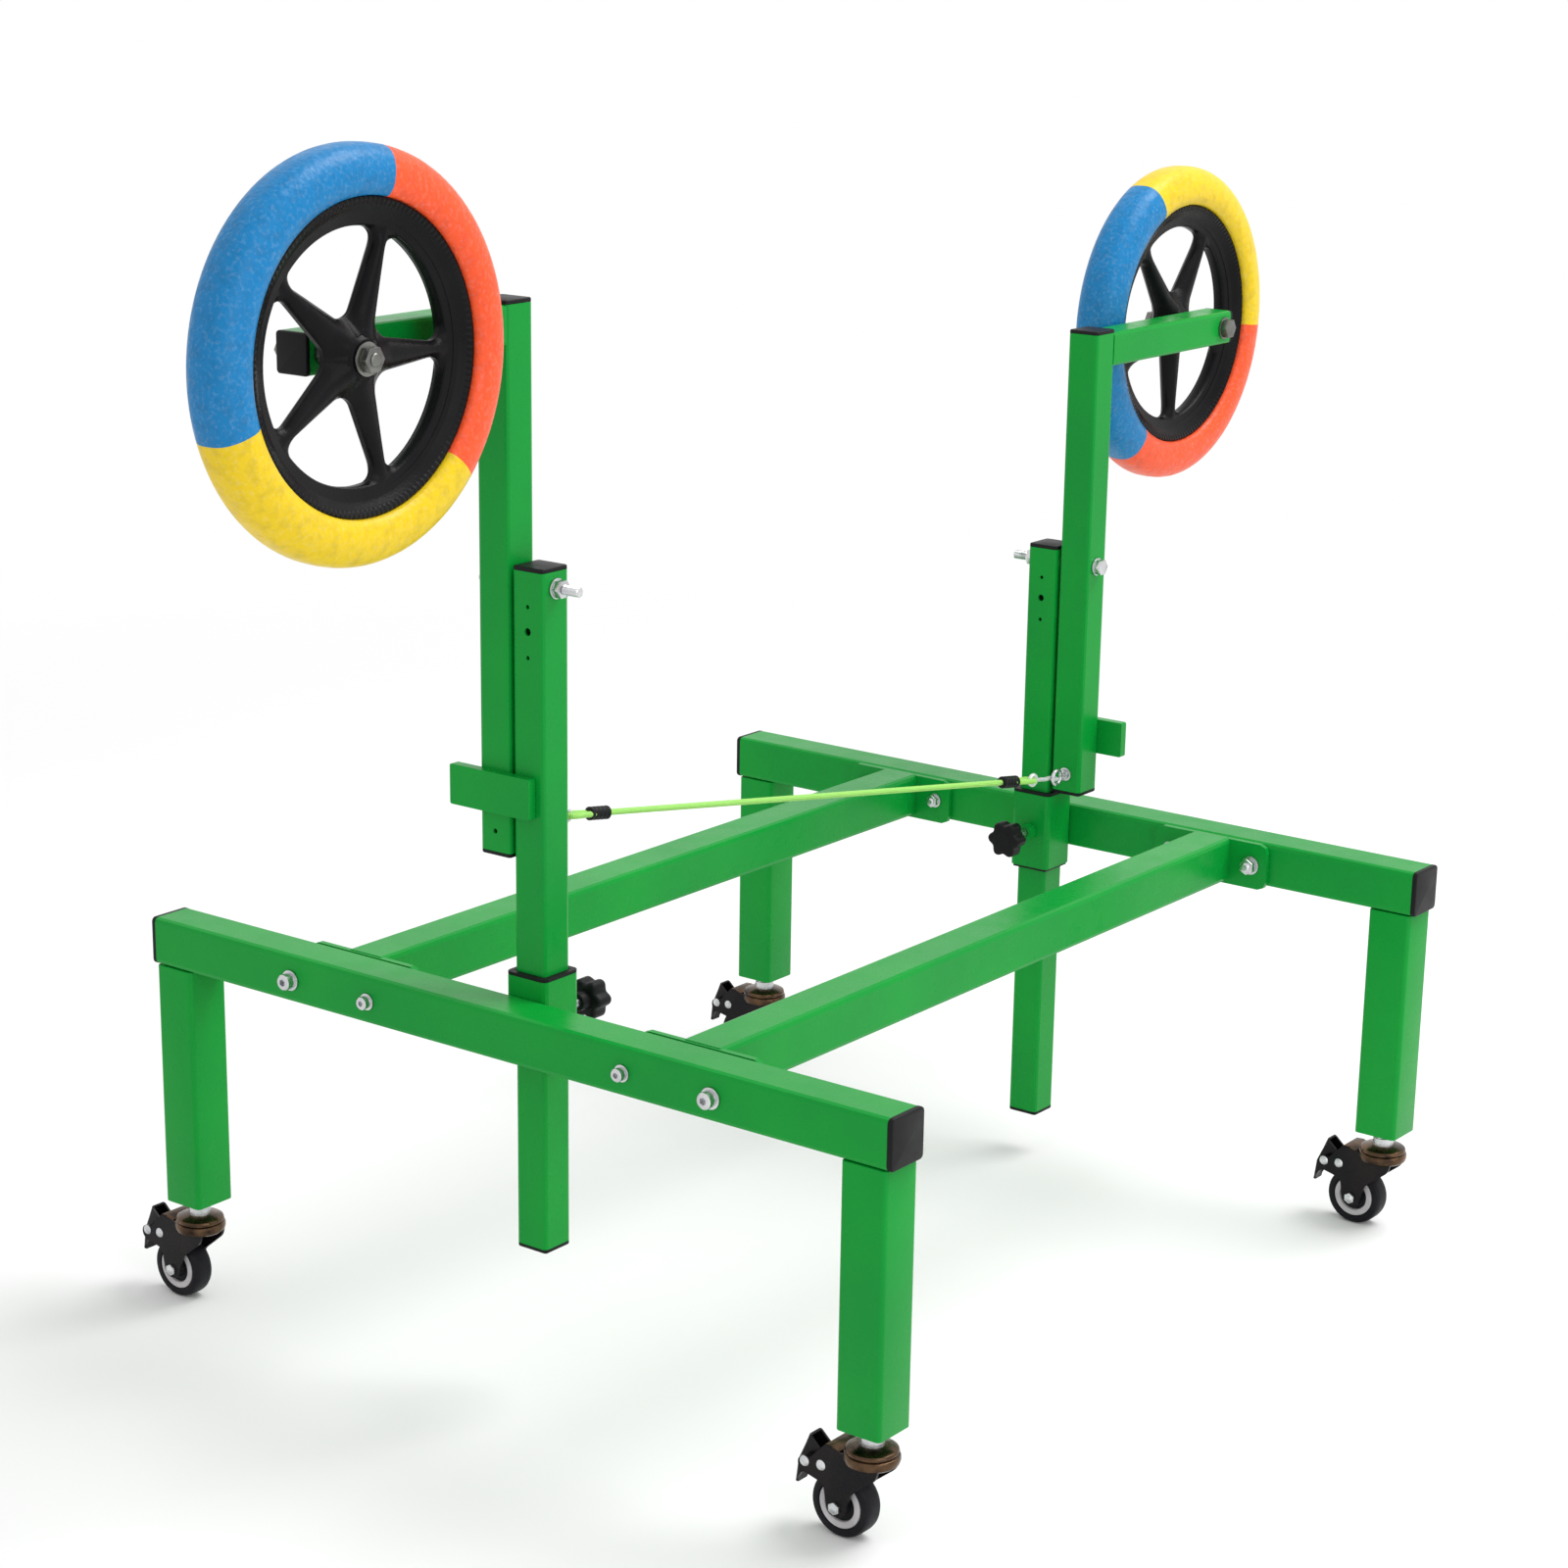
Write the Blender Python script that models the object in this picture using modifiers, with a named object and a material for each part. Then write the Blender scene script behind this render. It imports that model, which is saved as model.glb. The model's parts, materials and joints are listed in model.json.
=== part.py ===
"""Tennis swing trainer: two hinged wheel arms on sliding posts, on a bolted frame with braked casters.

Metres, +Z up, floor at z = 0. X runs along the crossbeams and Y along the rails.
The near unit stands at -Y. The far unit is the same unit turned half round, at its lowest setting.
The origin is under the middle of the whole outline, brake levers included.
"""
from math import atan2, cos, pi, radians, sin, tan

import bmesh
import bpy
from mathutils import Matrix, Vector

# Driving sizes of the frame
FRAME_LENGTH = 0.750        # crossbeam with its end caps, along X
FRAME_DEPTH = 0.830         # outer face to outer face of the crossbeams, along Y
FRAME_HEIGHT = 0.342        # top of the crossbeams above the floor
BEAM_TUBE = 0.040           # square tube of crossbeams, rails and legs
SLIDE_TUBE = 0.030          # square tube of posts, arms and brackets
TUBE_WALL = 0.002
BEAM_CORNER = 0.004         # outer corner radius of the larger tube
SLIDE_CORNER = 0.003
RAIL_SPACING = 0.344        # between the two rails' centrelines
LEG_INSET = 0.0043          # leg's outer face in from the end of the beam
FOOT_PLATE = 0.004

# Bolted joint between rail and crossbeam
FLANGE_LENGTH = 0.116
FLANGE_HEIGHT = 0.042
FLANGE_THICK = 0.005
FLANGE_CORNER = 0.008
FLANGE_DROP = 0.0006        # flange's top edge below the rail's top
FLANGE_BORE = 0.030         # square hole behind the rail's own bore
BOLT_OFFSET = 0.042         # from the rail's centreline
BOLT_DROP = 0.021           # below the top of the crossbeam
BOLT_RADIUS = 0.004
BOLT_HEAD_RADIUS = 0.0065
BOLT_HEAD_HEIGHT = 0.008
SOCKET_RADIUS = 0.0035
SOCKET_DEPTH = 0.004
WASHER_RADIUS = 0.0085
WASHER_THICK = 0.0016
NUT_RADIUS = 0.0075         # across corners, halved
NUT_HEIGHT = 0.0068
THREAD_END = 0.003          # thread that shows past a nut

# Plastic end caps
BEAM_CAP = 0.004            # thickness outside the tube
SLIDE_CAP = 0.003
BEAM_PLUG = 0.010           # depth inside the tube
SLIDE_PLUG = 0.006

# Post, sleeve and clamp
SLEEVE_RISE = 0.015         # sleeve's metal above the crossbeam
SLEEVE_DROP = 0.015         # and below it
BUSH_FLANGE = 0.0025
BUSH_LIP = 0.0025
POST_LENGTH = 0.548         # with both caps
NEAR_RAISE = 0.088          # how far the near unit is set above its lowest
POST_HOLES = ((0.030, 0.0018), (0.049, 0.0032), (0.069, 0.0018))   # drop, radius
BOSS_RADIUS = 0.008
BOSS_LENGTH = 0.009
STUD_RADIUS = 0.004
KNOB_RADIUS = 0.0165
KNOB_LOBES = 6
KNOB_LOBE = 0.0016
KNOB_LENGTH = 0.017
KNOB_REACH = 0.030          # sleeve face to the knob's inner face
KNOB_NECK = 0.008

# Swing arm
PIVOT_DROP = 0.016          # pivot below the post's top
PIVOT_RADIUS = 0.004
PIVOT_HEAD_RADIUS = 0.008
PIVOT_HEAD_HEIGHT = 0.006
PIVOT_TAIL = 0.024          # bolt past the post's side
ARM_FOOT_CLEAR = 0.0012     # arm's foot above the liner at the lowest setting
ARM_GAP = 0.003             # spacer between arm and post
ARM_ABOVE = 0.212
ARM_BELOW = 0.213
BAR_WIDTH = 0.080
BAR_HEIGHT = 0.032
BAR_THICK = 0.008
BAR_CORNER = 0.0015
BAR_WELD = 0.001            # depth that the bar is let into the arm
BAR_DROP = 0.161            # below the pivot
AXLE_REACH = 0.208          # wheel axle from the post's centreline
AXLE_END = 0.015            # from the axle to the bracket's end
EYE_RISE = 0.0195           # eye bolt above the arm's foot
EYE_NUT_RADIUS = 0.0048
EYE_BACK_NUT = 0.0045       # radius of the nut inside the tube
EYE_NUT_HEIGHT = 0.004

# Spinning wheel
TYRE_RADIUS = 0.145
TYRE_HALF = 0.0215
TYRE_EDGE = 0.004           # how far the sides round over
TYRE_SIDE = 0.121
TYRE_SHOULDER = 0.137
TYRE_CROWN = 0.0075         # half width of the tread's flat
RIM_RADIUS = 0.110
RIM_HALF = 0.015
RIM_SEAT = 0.095
RIM_SEAT_HALF = 0.008       # half width of the groove that holds the tyre
RIM_LIP = 0.003             # bevel of the rim's edge
RIM_DROP = 0.002
SEAT_CLEAR = 0.0005         # tyre inside the rim's groove
WINDOW_RADIUS = 0.089
WINDOW_CORNER = 0.010
WINDOW_APEX_ROUND = 0.008
WINDOW_APEX_INSET = 0.008   # from where two spokes would meet
WINDOW_ARC_INSET = 0.004
WINDOW_ARC = 0.475          # share of the arc that keeps its full radius, each way
SPOKES = 5
SPOKE_HALF = 0.0048         # half width at the rim
SPOKE_FLARE = 3.5           # degrees that each spoke side opens towards the hub
SPOKE_FLARE_LENGTH = 0.050
HUB_RADIUS = 0.015
HUB_HALF = 0.014
STAR_RADIUS = 0.030         # foot of the cone round the hub
STAR_DROP = 0.004
SPOKE_THICK = 0.0055        # half thickness at the rim
WHEEL_OFFSET = 0.028        # wheel's middle plane from the bracket
AXLE_RADIUS = 0.005
AXLE_WASHER = 0.012
AXLE_BACK_WASHER = 0.010
AXLE_SPACER = 0.008
AXLE_HEAD = 0.0092
AXLE_NUT = 0.0098
SPOKE_TURN = {"near": 19.6, "far": 38.5}

# Braked caster, measured from the bottom of the leg
CASTER_HEIGHT = 0.092
CASTER_RADIUS = 0.026
CASTER_HALF = 0.0095
CASTER_TRAIL = 0.022
CASTER_HUB = 0.0070
CASTER_RING = 0.0190        # outside of the wheel's core
RING_EDGE = 0.001
TREAD_EDGE = 0.0025
COLLAR_RADIUS = 0.009
COLLAR_BOTTOM = -0.006
STEM_RADIUS = 0.006
STEM_BOTTOM = -0.0095
CUP_TOP = -0.0115
CUP_INSET = 0.0015          # upper race inside the fork's
FORK_RADIUS = 0.0235
FORK_TOP = -0.0157
FORK_BOTTOM = -0.0240
FORK_LIP = 0.003
FORK_TAPER = 0.0010
FORK_INNER = 0.0116         # half the space between the side plates
FORK_PLATE = 0.0025
FORK_SIDE = ((0.016, -0.019, 0), (0.013, -0.034, 0), (-0.011, -0.076, 0.0095), (-0.033, -0.076, 0.0095),
             (-0.038, -0.049, 0), (-0.060, -0.046, 0.005), (-0.062, -0.031, 0.005), (-0.037, -0.0175, 0),
             (-0.018, -0.0175, 0))       # corners of a side plate, with their radii
KINGPIN_RADIUS = 0.0044
KINGPIN_HEAD = 0.007
KINGPIN_END = 0.0032
CASTER_AXLE = 0.0032
AXLE_BOLT_RADIUS = 0.005
AXLE_BOLT_HEAD = 0.003
RIVET_RADIUS = 0.0022
LEVER_PIVOT = (-0.051, -0.037)
STOP_RIVET = (-0.036, -0.036)
LEVER_TIP = (-0.066, -0.058)
LEVER_TIP_ROUND = 0.001
LEVER_TOP = (-0.041, -0.005)
LEVER_TOP_ROUND = 0.002
LEVER_FRONT = ((-0.031, -0.014, 0.002), (-0.0445, -0.030, 0.003), (-0.0450, -0.043, 0.003))
LEVER_PLATE = 0.002

# Elastic cord and the eyes that hold it
EYE_RADIUS = 0.0065
EYE_WIRE = 0.00175
EYE_REACH = 0.0147          # eye's centre from the arm's inner face
CORD_RADIUS = 0.0025
CORD_LOOP = 0.062           # length of the doubled end
CORD_LOOP_HALF = 0.0058
FERRULE_RADIUS = 0.0065
FERRULE_LENGTH = 0.030
FERRULE_PAST = 0.004        # ferrule past the end of the doubled cord

GAP = 0.0003                # between pieces that touch
RUN = 0.0004                # round running clearance
ROUND = 8                   # sides of bolts, holes and the cord's fittings
RIVET_ROUND = 6
WHEEL_ROUND = 24
CASTER_ROUND = 12
ARC_STEPS = 2               # chords in a rounded corner

GREEN = ((0.012, 0.42, 0.055), 0.28, 0.15)
BLACK = ((0.012, 0.012, 0.014), 0.45, 0.0)
BLACK_METAL = ((0.02, 0.02, 0.022), 0.35, 0.6)
ZINC = ((0.72, 0.73, 0.74), 0.25, 1.0)
RUBBER = ((0.02, 0.02, 0.025), 0.6, 0.0)
EVA = ((0.02, 0.22, 0.62), 0.55, 0.0)
LIME = ((0.35, 0.80, 0.15), 0.6, 0.0)

# Places worked out from the sizes above
CAP_SIZES = {BEAM_TUBE: (BEAM_CORNER, BEAM_CAP, BEAM_PLUG), SLIDE_TUBE: (SLIDE_CORNER, SLIDE_CAP, SLIDE_PLUG)}
BEAM_BOTTOM = FRAME_HEIGHT - BEAM_TUBE
BEAM_INNER = FRAME_DEPTH / 2 - BEAM_TUBE
LEG_X = FRAME_LENGTH / 2 - LEG_INSET - BEAM_TUBE / 2
LEG_Y = FRAME_DEPTH / 2 - BEAM_TUBE / 2
RAIL_X = RAIL_SPACING / 2
BOLT_Z = FRAME_HEIGHT - BOLT_DROP
POST_Y = BEAM_INNER - GAP - BEAM_TUBE / 2
SLEEVE_TOP = FRAME_HEIGHT + SLEEVE_RISE
SLEEVE_BOTTOM = BEAM_BOTTOM - SLEEVE_DROP
KNOB_Z = (SLEEVE_TOP + SLEEVE_BOTTOM) / 2
ARM_X = -(SLIDE_TUBE + ARM_GAP)
ARM_OUT = SLIDE_TUBE / 2 + GAP + BAR_WELD
ARM_IN = SLIDE_TUBE - ARM_OUT
AXLE_Z = ARM_ABOVE - SLIDE_CAP - GAP - SLIDE_TUBE / 2
POST_TOP_LOW = SLEEVE_TOP + GAP + BUSH_FLANGE + ARM_FOOT_CLEAR + ARM_BELOW + PIVOT_DROP
WHEEL_X = ARM_X + SLIDE_TUBE / 2 + WHEEL_OFFSET
CENTRE_X = (LEG_X - LEVER_TIP[0] - FRAME_LENGTH / 2) / 2


def clear_scene():
    for obj in list(bpy.data.objects):
        bpy.data.objects.remove(obj, do_unlink=True)


def new_collection(name):
    made = bpy.data.collections.new(name)
    bpy.context.scene.collection.children.link(made)
    return made


def paint(finish, name):
    colour, roughness, metallic = finish
    material = bpy.data.materials.new(name)
    material.use_nodes = True
    shader = material.node_tree.nodes["Principled BSDF"]
    shader.inputs["Base Color"].default_value = (*colour, 1.0)
    shader.inputs["Roughness"].default_value = roughness
    shader.inputs["Metallic"].default_value = metallic
    return material


def empty(name, parent=None, at=(0, 0, 0), turn=0.0):
    made = bpy.data.objects.new(name, None)
    guides.objects.link(made)
    made.parent = parent
    made.location = at
    made.rotation_euler.z = turn
    return made


# Outlines are lists of (u, v) points that run round once

def circle(radius, sides=ROUND, centre=(0, 0)):
    return [(centre[0] + radius * cos(2 * pi * k / sides), centre[1] + radius * sin(2 * pi * k / sides))
            for k in range(sides)]


def filleted(corners, steps=ARC_STEPS):
    """Rounds each (u, v, radius) corner of an outline."""
    points = []
    for i, (u, v, radius) in enumerate(corners):
        corner = Vector((u, v))
        if radius <= 0:
            points.append((u, v))
            continue
        back = (Vector(corners[i - 1][:2]) - corner).normalized()
        ahead = (Vector(corners[(i + 1) % len(corners)][:2]) - corner).normalized()
        half = back.angle(ahead) / 2
        middle = corner + (back + ahead).normalized() * radius / sin(half)
        start = corner + back * radius / tan(half) - middle
        end = corner + ahead * radius / tan(half) - middle
        first = atan2(start.y, start.x)
        turn = (atan2(end.y, end.x) - first + pi) % (2 * pi) - pi
        for k in range(steps + 1):
            angle = first + turn * k / steps
            points.append((middle.x + radius * cos(angle), middle.y + radius * sin(angle)))
    return points


def rectangle(width, height, radius=0):
    return filleted([(-width / 2, -height / 2, radius), (width / 2, -height / 2, radius),
                     (width / 2, height / 2, radius), (-width / 2, height / 2, radius)])


def star(radius, lobes, depth, points_each=5):
    count = lobes * points_each
    return [((radius + depth * cos(lobes * 2 * pi * k / count)) * cos(2 * pi * k / count),
             (radius + depth * cos(lobes * 2 * pi * k / count)) * sin(2 * pi * k / count))
            for k in range(count)]


# Local directions: u and v span the outline, w is the direction it is extruded or turned about.
# Along Y, w points outwards, away from the middle of the machine.
FRAMES = {
    "X": Matrix(((0, 0, 1), (1, 0, 0), (0, 1, 0))),
    "Y": Matrix(((1, 0, 0), (0, 0, -1), (0, 1, 0))),
    "Z": Matrix.Identity(3),
}


def settled(source, name, axis, at):
    """Freezes an object's evaluated shape as a welded mesh, laid along its axis and moved to its place."""
    bpy.context.view_layer.update()
    evaluated = source.evaluated_get(bpy.context.evaluated_depsgraph_get())
    mesh = bpy.data.meshes.new_from_object(evaluated)
    data = source.data
    bpy.data.objects.remove(source, do_unlink=True)
    (bpy.data.curves if isinstance(data, bpy.types.Curve) else bpy.data.meshes).remove(data)
    mesh.name = name
    mesh.materials.clear()
    mesh.transform(Matrix.Translation(at) @ FRAMES[axis].to_4x4())
    shape = bmesh.new()
    shape.from_mesh(mesh)
    bmesh.ops.remove_doubles(shape, verts=shape.verts, dist=1e-6)
    bmesh.ops.recalc_face_normals(shape, faces=shape.faces)
    shape.to_mesh(mesh)
    shape.free()
    made = bpy.data.objects.new(name, mesh)
    pieces.objects.link(made)
    return made


def prism(name, outlines, length, axis="Z", at=(0, 0, 0)):
    """Extrudes flat outlines; one inside another leaves a hole."""
    curve = bpy.data.curves.new(name, "CURVE")
    curve.dimensions = "2D"
    curve.fill_mode = "BOTH"
    curve.extrude = length / 2
    for outline in outlines:
        spline = curve.splines.new("POLY")
        spline.points.add(len(outline) - 1)
        for point, (u, v) in zip(spline.points, outline):
            point.co = (u, v, 0, 1)
        spline.use_cyclic_u = True
    source = bpy.data.objects.new(name, curve)
    pieces.objects.link(source)
    return settled(source, name, axis, at)


def turned(name, profile, sides=ROUND, axis="Z", at=(0, 0, 0), ring=False):
    """Spins (radius, height) points, listed down the outer side, about the axis."""
    mesh = bpy.data.meshes.new(name)
    edges = [(i, i + 1) for i in range(len(profile) - 1)]
    if ring:
        edges.append((len(profile) - 1, 0))
    mesh.from_pydata([(radius, 0, height) for radius, height in profile], edges, [])
    source = bpy.data.objects.new(name, mesh)
    pieces.objects.link(source)
    screw = source.modifiers.new("turn", "SCREW")
    screw.steps = screw.render_steps = sides
    screw.use_merge_vertices = True
    screw.merge_threshold = 1e-6
    return settled(source, name, axis, at)


def rod(name, radius, length, axis="Z", at=(0, 0, 0), sides=ROUND):
    return prism(name, [circle(radius, sides)], length, axis, at)


def rods(name, spots, length, axis, sides=ROUND):
    """Several parallel rods in one mesh; spots are (place, radius)."""
    shape = bmesh.new()
    for place, radius in spots:
        one = rod(name, radius, length, axis, place, sides)
        shape.from_mesh(one.data)
        mesh = one.data
        bpy.data.objects.remove(one, do_unlink=True)
        bpy.data.meshes.remove(mesh)
    mesh = bpy.data.meshes.new(name)
    shape.to_mesh(mesh)
    shape.free()
    made = bpy.data.objects.new(name, mesh)
    pieces.objects.link(made)
    return made


def ring_of_wire(name, radius, wire, axis, at):
    profile = [(radius + wire * cos(pi / 3 * k), -wire * sin(pi / 3 * k)) for k in range(6)]
    return turned(name, profile, 12, axis, at, ring=True)


def combine(target, tool, operation):
    pieces.objects.unlink(tool)
    cutters.objects.link(tool)
    tool.hide_render = True
    tool.display_type = "WIRE"
    step = target.modifiers.new(tool.name, "BOOLEAN")
    step.operation = operation
    step.solver = "EXACT"
    step.object = tool


def join(target, *tools):
    for tool in tools:
        combine(target, tool, "UNION")


def cut(target, *tools):
    for tool in tools:
        combine(target, tool, "DIFFERENCE")


def finish(obj, name, material, parent):
    """Names a piece, gives it its material and hangs it and its tools on their empty."""
    obj.name = name
    obj.data.materials.append(material)
    obj.parent = parent
    for step in obj.modifiers:
        step.object.parent = parent
        step.object.name = f"{name}.{step.object.name}"
    obj.data.shade_smooth()
    obj.data.set_sharp_from_angle(angle=radians(35))
    return obj


def square_tube(name, size, corner, length, axis, at):
    inner = size - 2 * TUBE_WALL
    return prism(name, [rectangle(size, size, corner), rectangle(inner, inner)], length, axis, at)


def end_cap(name, size, axis, outward, at, material, parent):
    """A square cap whose inner face is at the given place and whose plug fits inside the tube."""
    corner, thick, depth = CAP_SIZES[size]
    plug = size - 2 * TUBE_WALL - 2 * GAP
    direction = FRAMES[axis] @ Vector((0, 0, outward))
    cap = prism(name, [rectangle(size, size, corner)], thick, axis, Vector(at) + direction * thick / 2)
    join(cap, prism("plug", [rectangle(plug, plug)], depth + thick / 2, axis,
                    Vector(at) - direction * (depth - thick / 2) / 2))
    return finish(cap, name, material, parent)


def build_crossbeam(place, side, base):
    y = side * LEG_Y
    z = FRAME_HEIGHT - BEAM_TUBE / 2
    length = FRAME_LENGTH - 2 * (BEAM_CAP + GAP)
    beam = square_tube("tube", BEAM_TUBE, BEAM_CORNER, length, "X", (0, y, z))
    spots = [((sx * RAIL_X + sb * BOLT_OFFSET, y, BOLT_Z), BOLT_RADIUS + RUN)
             for sx in (-1, 1) for sb in (-1, 1)]
    cut(beam, rods("bolt_holes", spots, 2 * BEAM_TUBE, "Y"))
    finish(beam, f"{place}_crossbeam", green, base)
    for end, sx in (("left", -1), ("right", 1)):
        end_cap(f"{place}_{end}_beam_cap", BEAM_TUBE, "X", sx, (sx * (length / 2 + GAP), y, z), black, base)


def build_rail(hand, sx, base):
    """Rail tube let half way into a drilled flange plate at each end."""
    x = sx * RAIL_X
    length = 2 * (BEAM_INNER - GAP)
    rail = square_tube("tube", BEAM_TUBE, BEAM_CORNER, length - FLANGE_THICK, "Y",
                       (x, 0, FRAME_HEIGHT - BEAM_TUBE / 2))
    flange_z = FRAME_HEIGHT - FLANGE_DROP - FLANGE_HEIGHT / 2
    outlines = [rectangle(FLANGE_LENGTH, FLANGE_HEIGHT, FLANGE_CORNER),
                rectangle(FLANGE_BORE, FLANGE_BORE)]
    outlines += [circle(BOLT_RADIUS + RUN, ROUND, (sb * BOLT_OFFSET, BOLT_Z - flange_z)) for sb in (-1, 1)]
    for side in (-1, 1):
        flange_y = side * (length - FLANGE_THICK) / 2
        join(rail, prism("flange", outlines, FLANGE_THICK, "Y", (x, flange_y, flange_z)))
    finish(rail, f"{hand}_rail", green, base)


def build_rail_bolt(place, side, hand, sx, base):
    """The outer bolt of a flange, with its washers and nut, pointing outwards from the middle."""
    grip = BEAM_TUBE + GAP + FLANGE_THICK
    head = WASHER_THICK + BOLT_HEAD_HEIGHT
    profile = [(0, head), (BOLT_HEAD_RADIUS, head), (BOLT_HEAD_RADIUS, WASHER_THICK),
               (WASHER_RADIUS, WASHER_THICK), (WASHER_RADIUS, 0), (BOLT_RADIUS, 0),
               (BOLT_RADIUS, -grip - 2 * GAP), (WASHER_RADIUS, -grip - 2 * GAP),
               (WASHER_RADIUS, -grip - 2 * GAP - WASHER_THICK),
               (BOLT_RADIUS, -grip - 2 * GAP - WASHER_THICK),
               (BOLT_RADIUS, -grip - WASHER_THICK - NUT_HEIGHT - THREAD_END),
               (0, -grip - WASHER_THICK - NUT_HEIGHT - THREAD_END)]
    seat = FRAME_DEPTH / 2 + GAP
    bolt = turned("bolt", profile, ROUND, "Y")
    join(bolt, rod("nut", NUT_RADIUS, NUT_HEIGHT + WASHER_THICK / 2, "Y",
                   (0, grip + 2 * GAP + WASHER_THICK / 2 + NUT_HEIGHT / 2, 0), 6))
    cut(bolt, rod("socket", SOCKET_RADIUS, 2 * SOCKET_DEPTH, "Y", (0, -head, 0), 6))
    spot = empty(f"{place}_{hand}_bolt_place", base,
                 (sx * (RAIL_X + BOLT_OFFSET), side * seat, BOLT_Z), 0 if side < 0 else pi)
    finish(bolt, f"{place}_{hand}_rail_bolt", zinc, spot)


def build_leg(corner, spot):
    """Leg with its foot plate, the caster's collar, upper race and kingpin; z = 0 at the foot."""
    height = BEAM_BOTTOM - GAP - CASTER_HEIGHT
    inner = BEAM_TUBE - 2 * TUBE_WALL
    leg = prism("tube", [rectangle(BEAM_TUBE, BEAM_TUBE, BEAM_CORNER)], height, "Z", (0, 0, height / 2))
    cut(leg, prism("hollow", [rectangle(inner, inner)], height, "Z",
                   (0, 0, height / 2 + FOOT_PLATE)))
    race = FORK_RADIUS - CUP_INSET
    profile = [(0, FOOT_PLATE / 2), (COLLAR_RADIUS, FOOT_PLATE / 2), (COLLAR_RADIUS, COLLAR_BOTTOM),
               (STEM_RADIUS, COLLAR_BOTTOM), (STEM_RADIUS, STEM_BOTTOM), (race, CUP_TOP),
               (race, FORK_TOP + GAP), (KINGPIN_RADIUS, FORK_TOP + GAP), (KINGPIN_RADIUS, FORK_BOTTOM - GAP),
               (KINGPIN_HEAD, FORK_BOTTOM - GAP), (0, FORK_BOTTOM - KINGPIN_END)]
    join(leg, turned("stem", profile, CASTER_ROUND, "Z"))
    finish(leg, f"{corner}_leg", green, spot)


def build_caster(corner, spot):
    axle = (-CASTER_TRAIL, 0, CASTER_RADIUS - CASTER_HEIGHT)
    swivel = empty(f"{corner}_swivel_axis", spot)
    bore = KINGPIN_RADIUS + 1.5 * RUN
    head = [(FORK_RADIUS - CUP_INSET, FORK_TOP), (FORK_RADIUS, FORK_TOP - FORK_LIP),
            (FORK_RADIUS - FORK_TAPER, FORK_BOTTOM), (bore, FORK_BOTTOM), (bore, FORK_TOP)]
    fork = turned("head", head, CASTER_ROUND, "Z", ring=True)
    side = filleted(FORK_SIDE)
    for sy in (-1, 1):
        join(fork, prism("plate", [side], FORK_PLATE, "Y", (0, sy * (FORK_INNER + FORK_PLATE / 2), 0)))
    outer = FORK_INNER + FORK_PLATE
    bolt = [(0, outer + AXLE_BOLT_HEAD), (AXLE_BOLT_RADIUS, outer + AXLE_BOLT_HEAD),
            (AXLE_BOLT_RADIUS, outer - FORK_PLATE / 2), (CASTER_AXLE, outer - FORK_PLATE / 2)]
    bolt += [(radius, -height) for radius, height in reversed(bolt)]
    join(fork, turned("axle", bolt, RIVET_ROUND, "Y", axle))
    for label, (x, z) in (("lever_pin", LEVER_PIVOT), ("stop_pin", STOP_RIVET)):
        join(fork, rod(label, RIVET_RADIUS, 2 * outer - FORK_PLATE, "Y", (x, 0, z), RIVET_ROUND))
    finish(fork, f"{corner}_caster_fork", black_metal, swivel)

    hub = FORK_INNER - RUN
    wheel_profile = [(CASTER_AXLE + RUN, hub), (CASTER_HUB, hub), (CASTER_RING, CASTER_HALF - RING_EDGE),
                     (CASTER_RADIUS, CASTER_HALF - TREAD_EDGE)]
    wheel_profile += [(radius, -height) for radius, height in reversed(wheel_profile)]
    wheel_spot = empty(f"{corner}_caster_axle", swivel, axle)
    wheel = turned("caster_wheel", wheel_profile, CASTER_ROUND, "Y", ring=True)
    finish(wheel, f"{corner}_caster_wheel", rubber, wheel_spot)

    lever_spot = empty(f"{corner}_lever_axis", swivel, (LEVER_PIVOT[0], 0, LEVER_PIVOT[1]))

    top = Vector(LEVER_TOP) - Vector(LEVER_PIVOT)
    tip = Vector(LEVER_TIP) - Vector(LEVER_PIVOT)
    inward = Vector(((top - tip).y, -(top - tip).x)).normalized() * LEVER_PLATE
    cheek = [(*top, LEVER_TOP_ROUND)]
    cheek += [(u - LEVER_PIVOT[0], v - LEVER_PIVOT[1], corner) for u, v, corner in LEVER_FRONT]
    cheek.append((*tip, LEVER_TIP_ROUND))
    width = 2 * (FORK_INNER - RUN)
    lever = prism("lever", [filleted(cheek, 1)], width, "Y")
    ahead = Vector((CASTER_HEIGHT, 0))
    hollow = [top + inward + (top - tip), top + (top - tip) + ahead, tip - (top - tip) + ahead,
              tip + inward - (top - tip)]
    cut(lever, prism("hollow", [[tuple(point) for point in hollow]], width - 2 * LEVER_PLATE, "Y"),
        rod("pin_hole", RIVET_RADIUS + RUN, 2 * width, "Y"))
    finish(lever, f"{corner}_brake_lever", black_metal, lever_spot)


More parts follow.
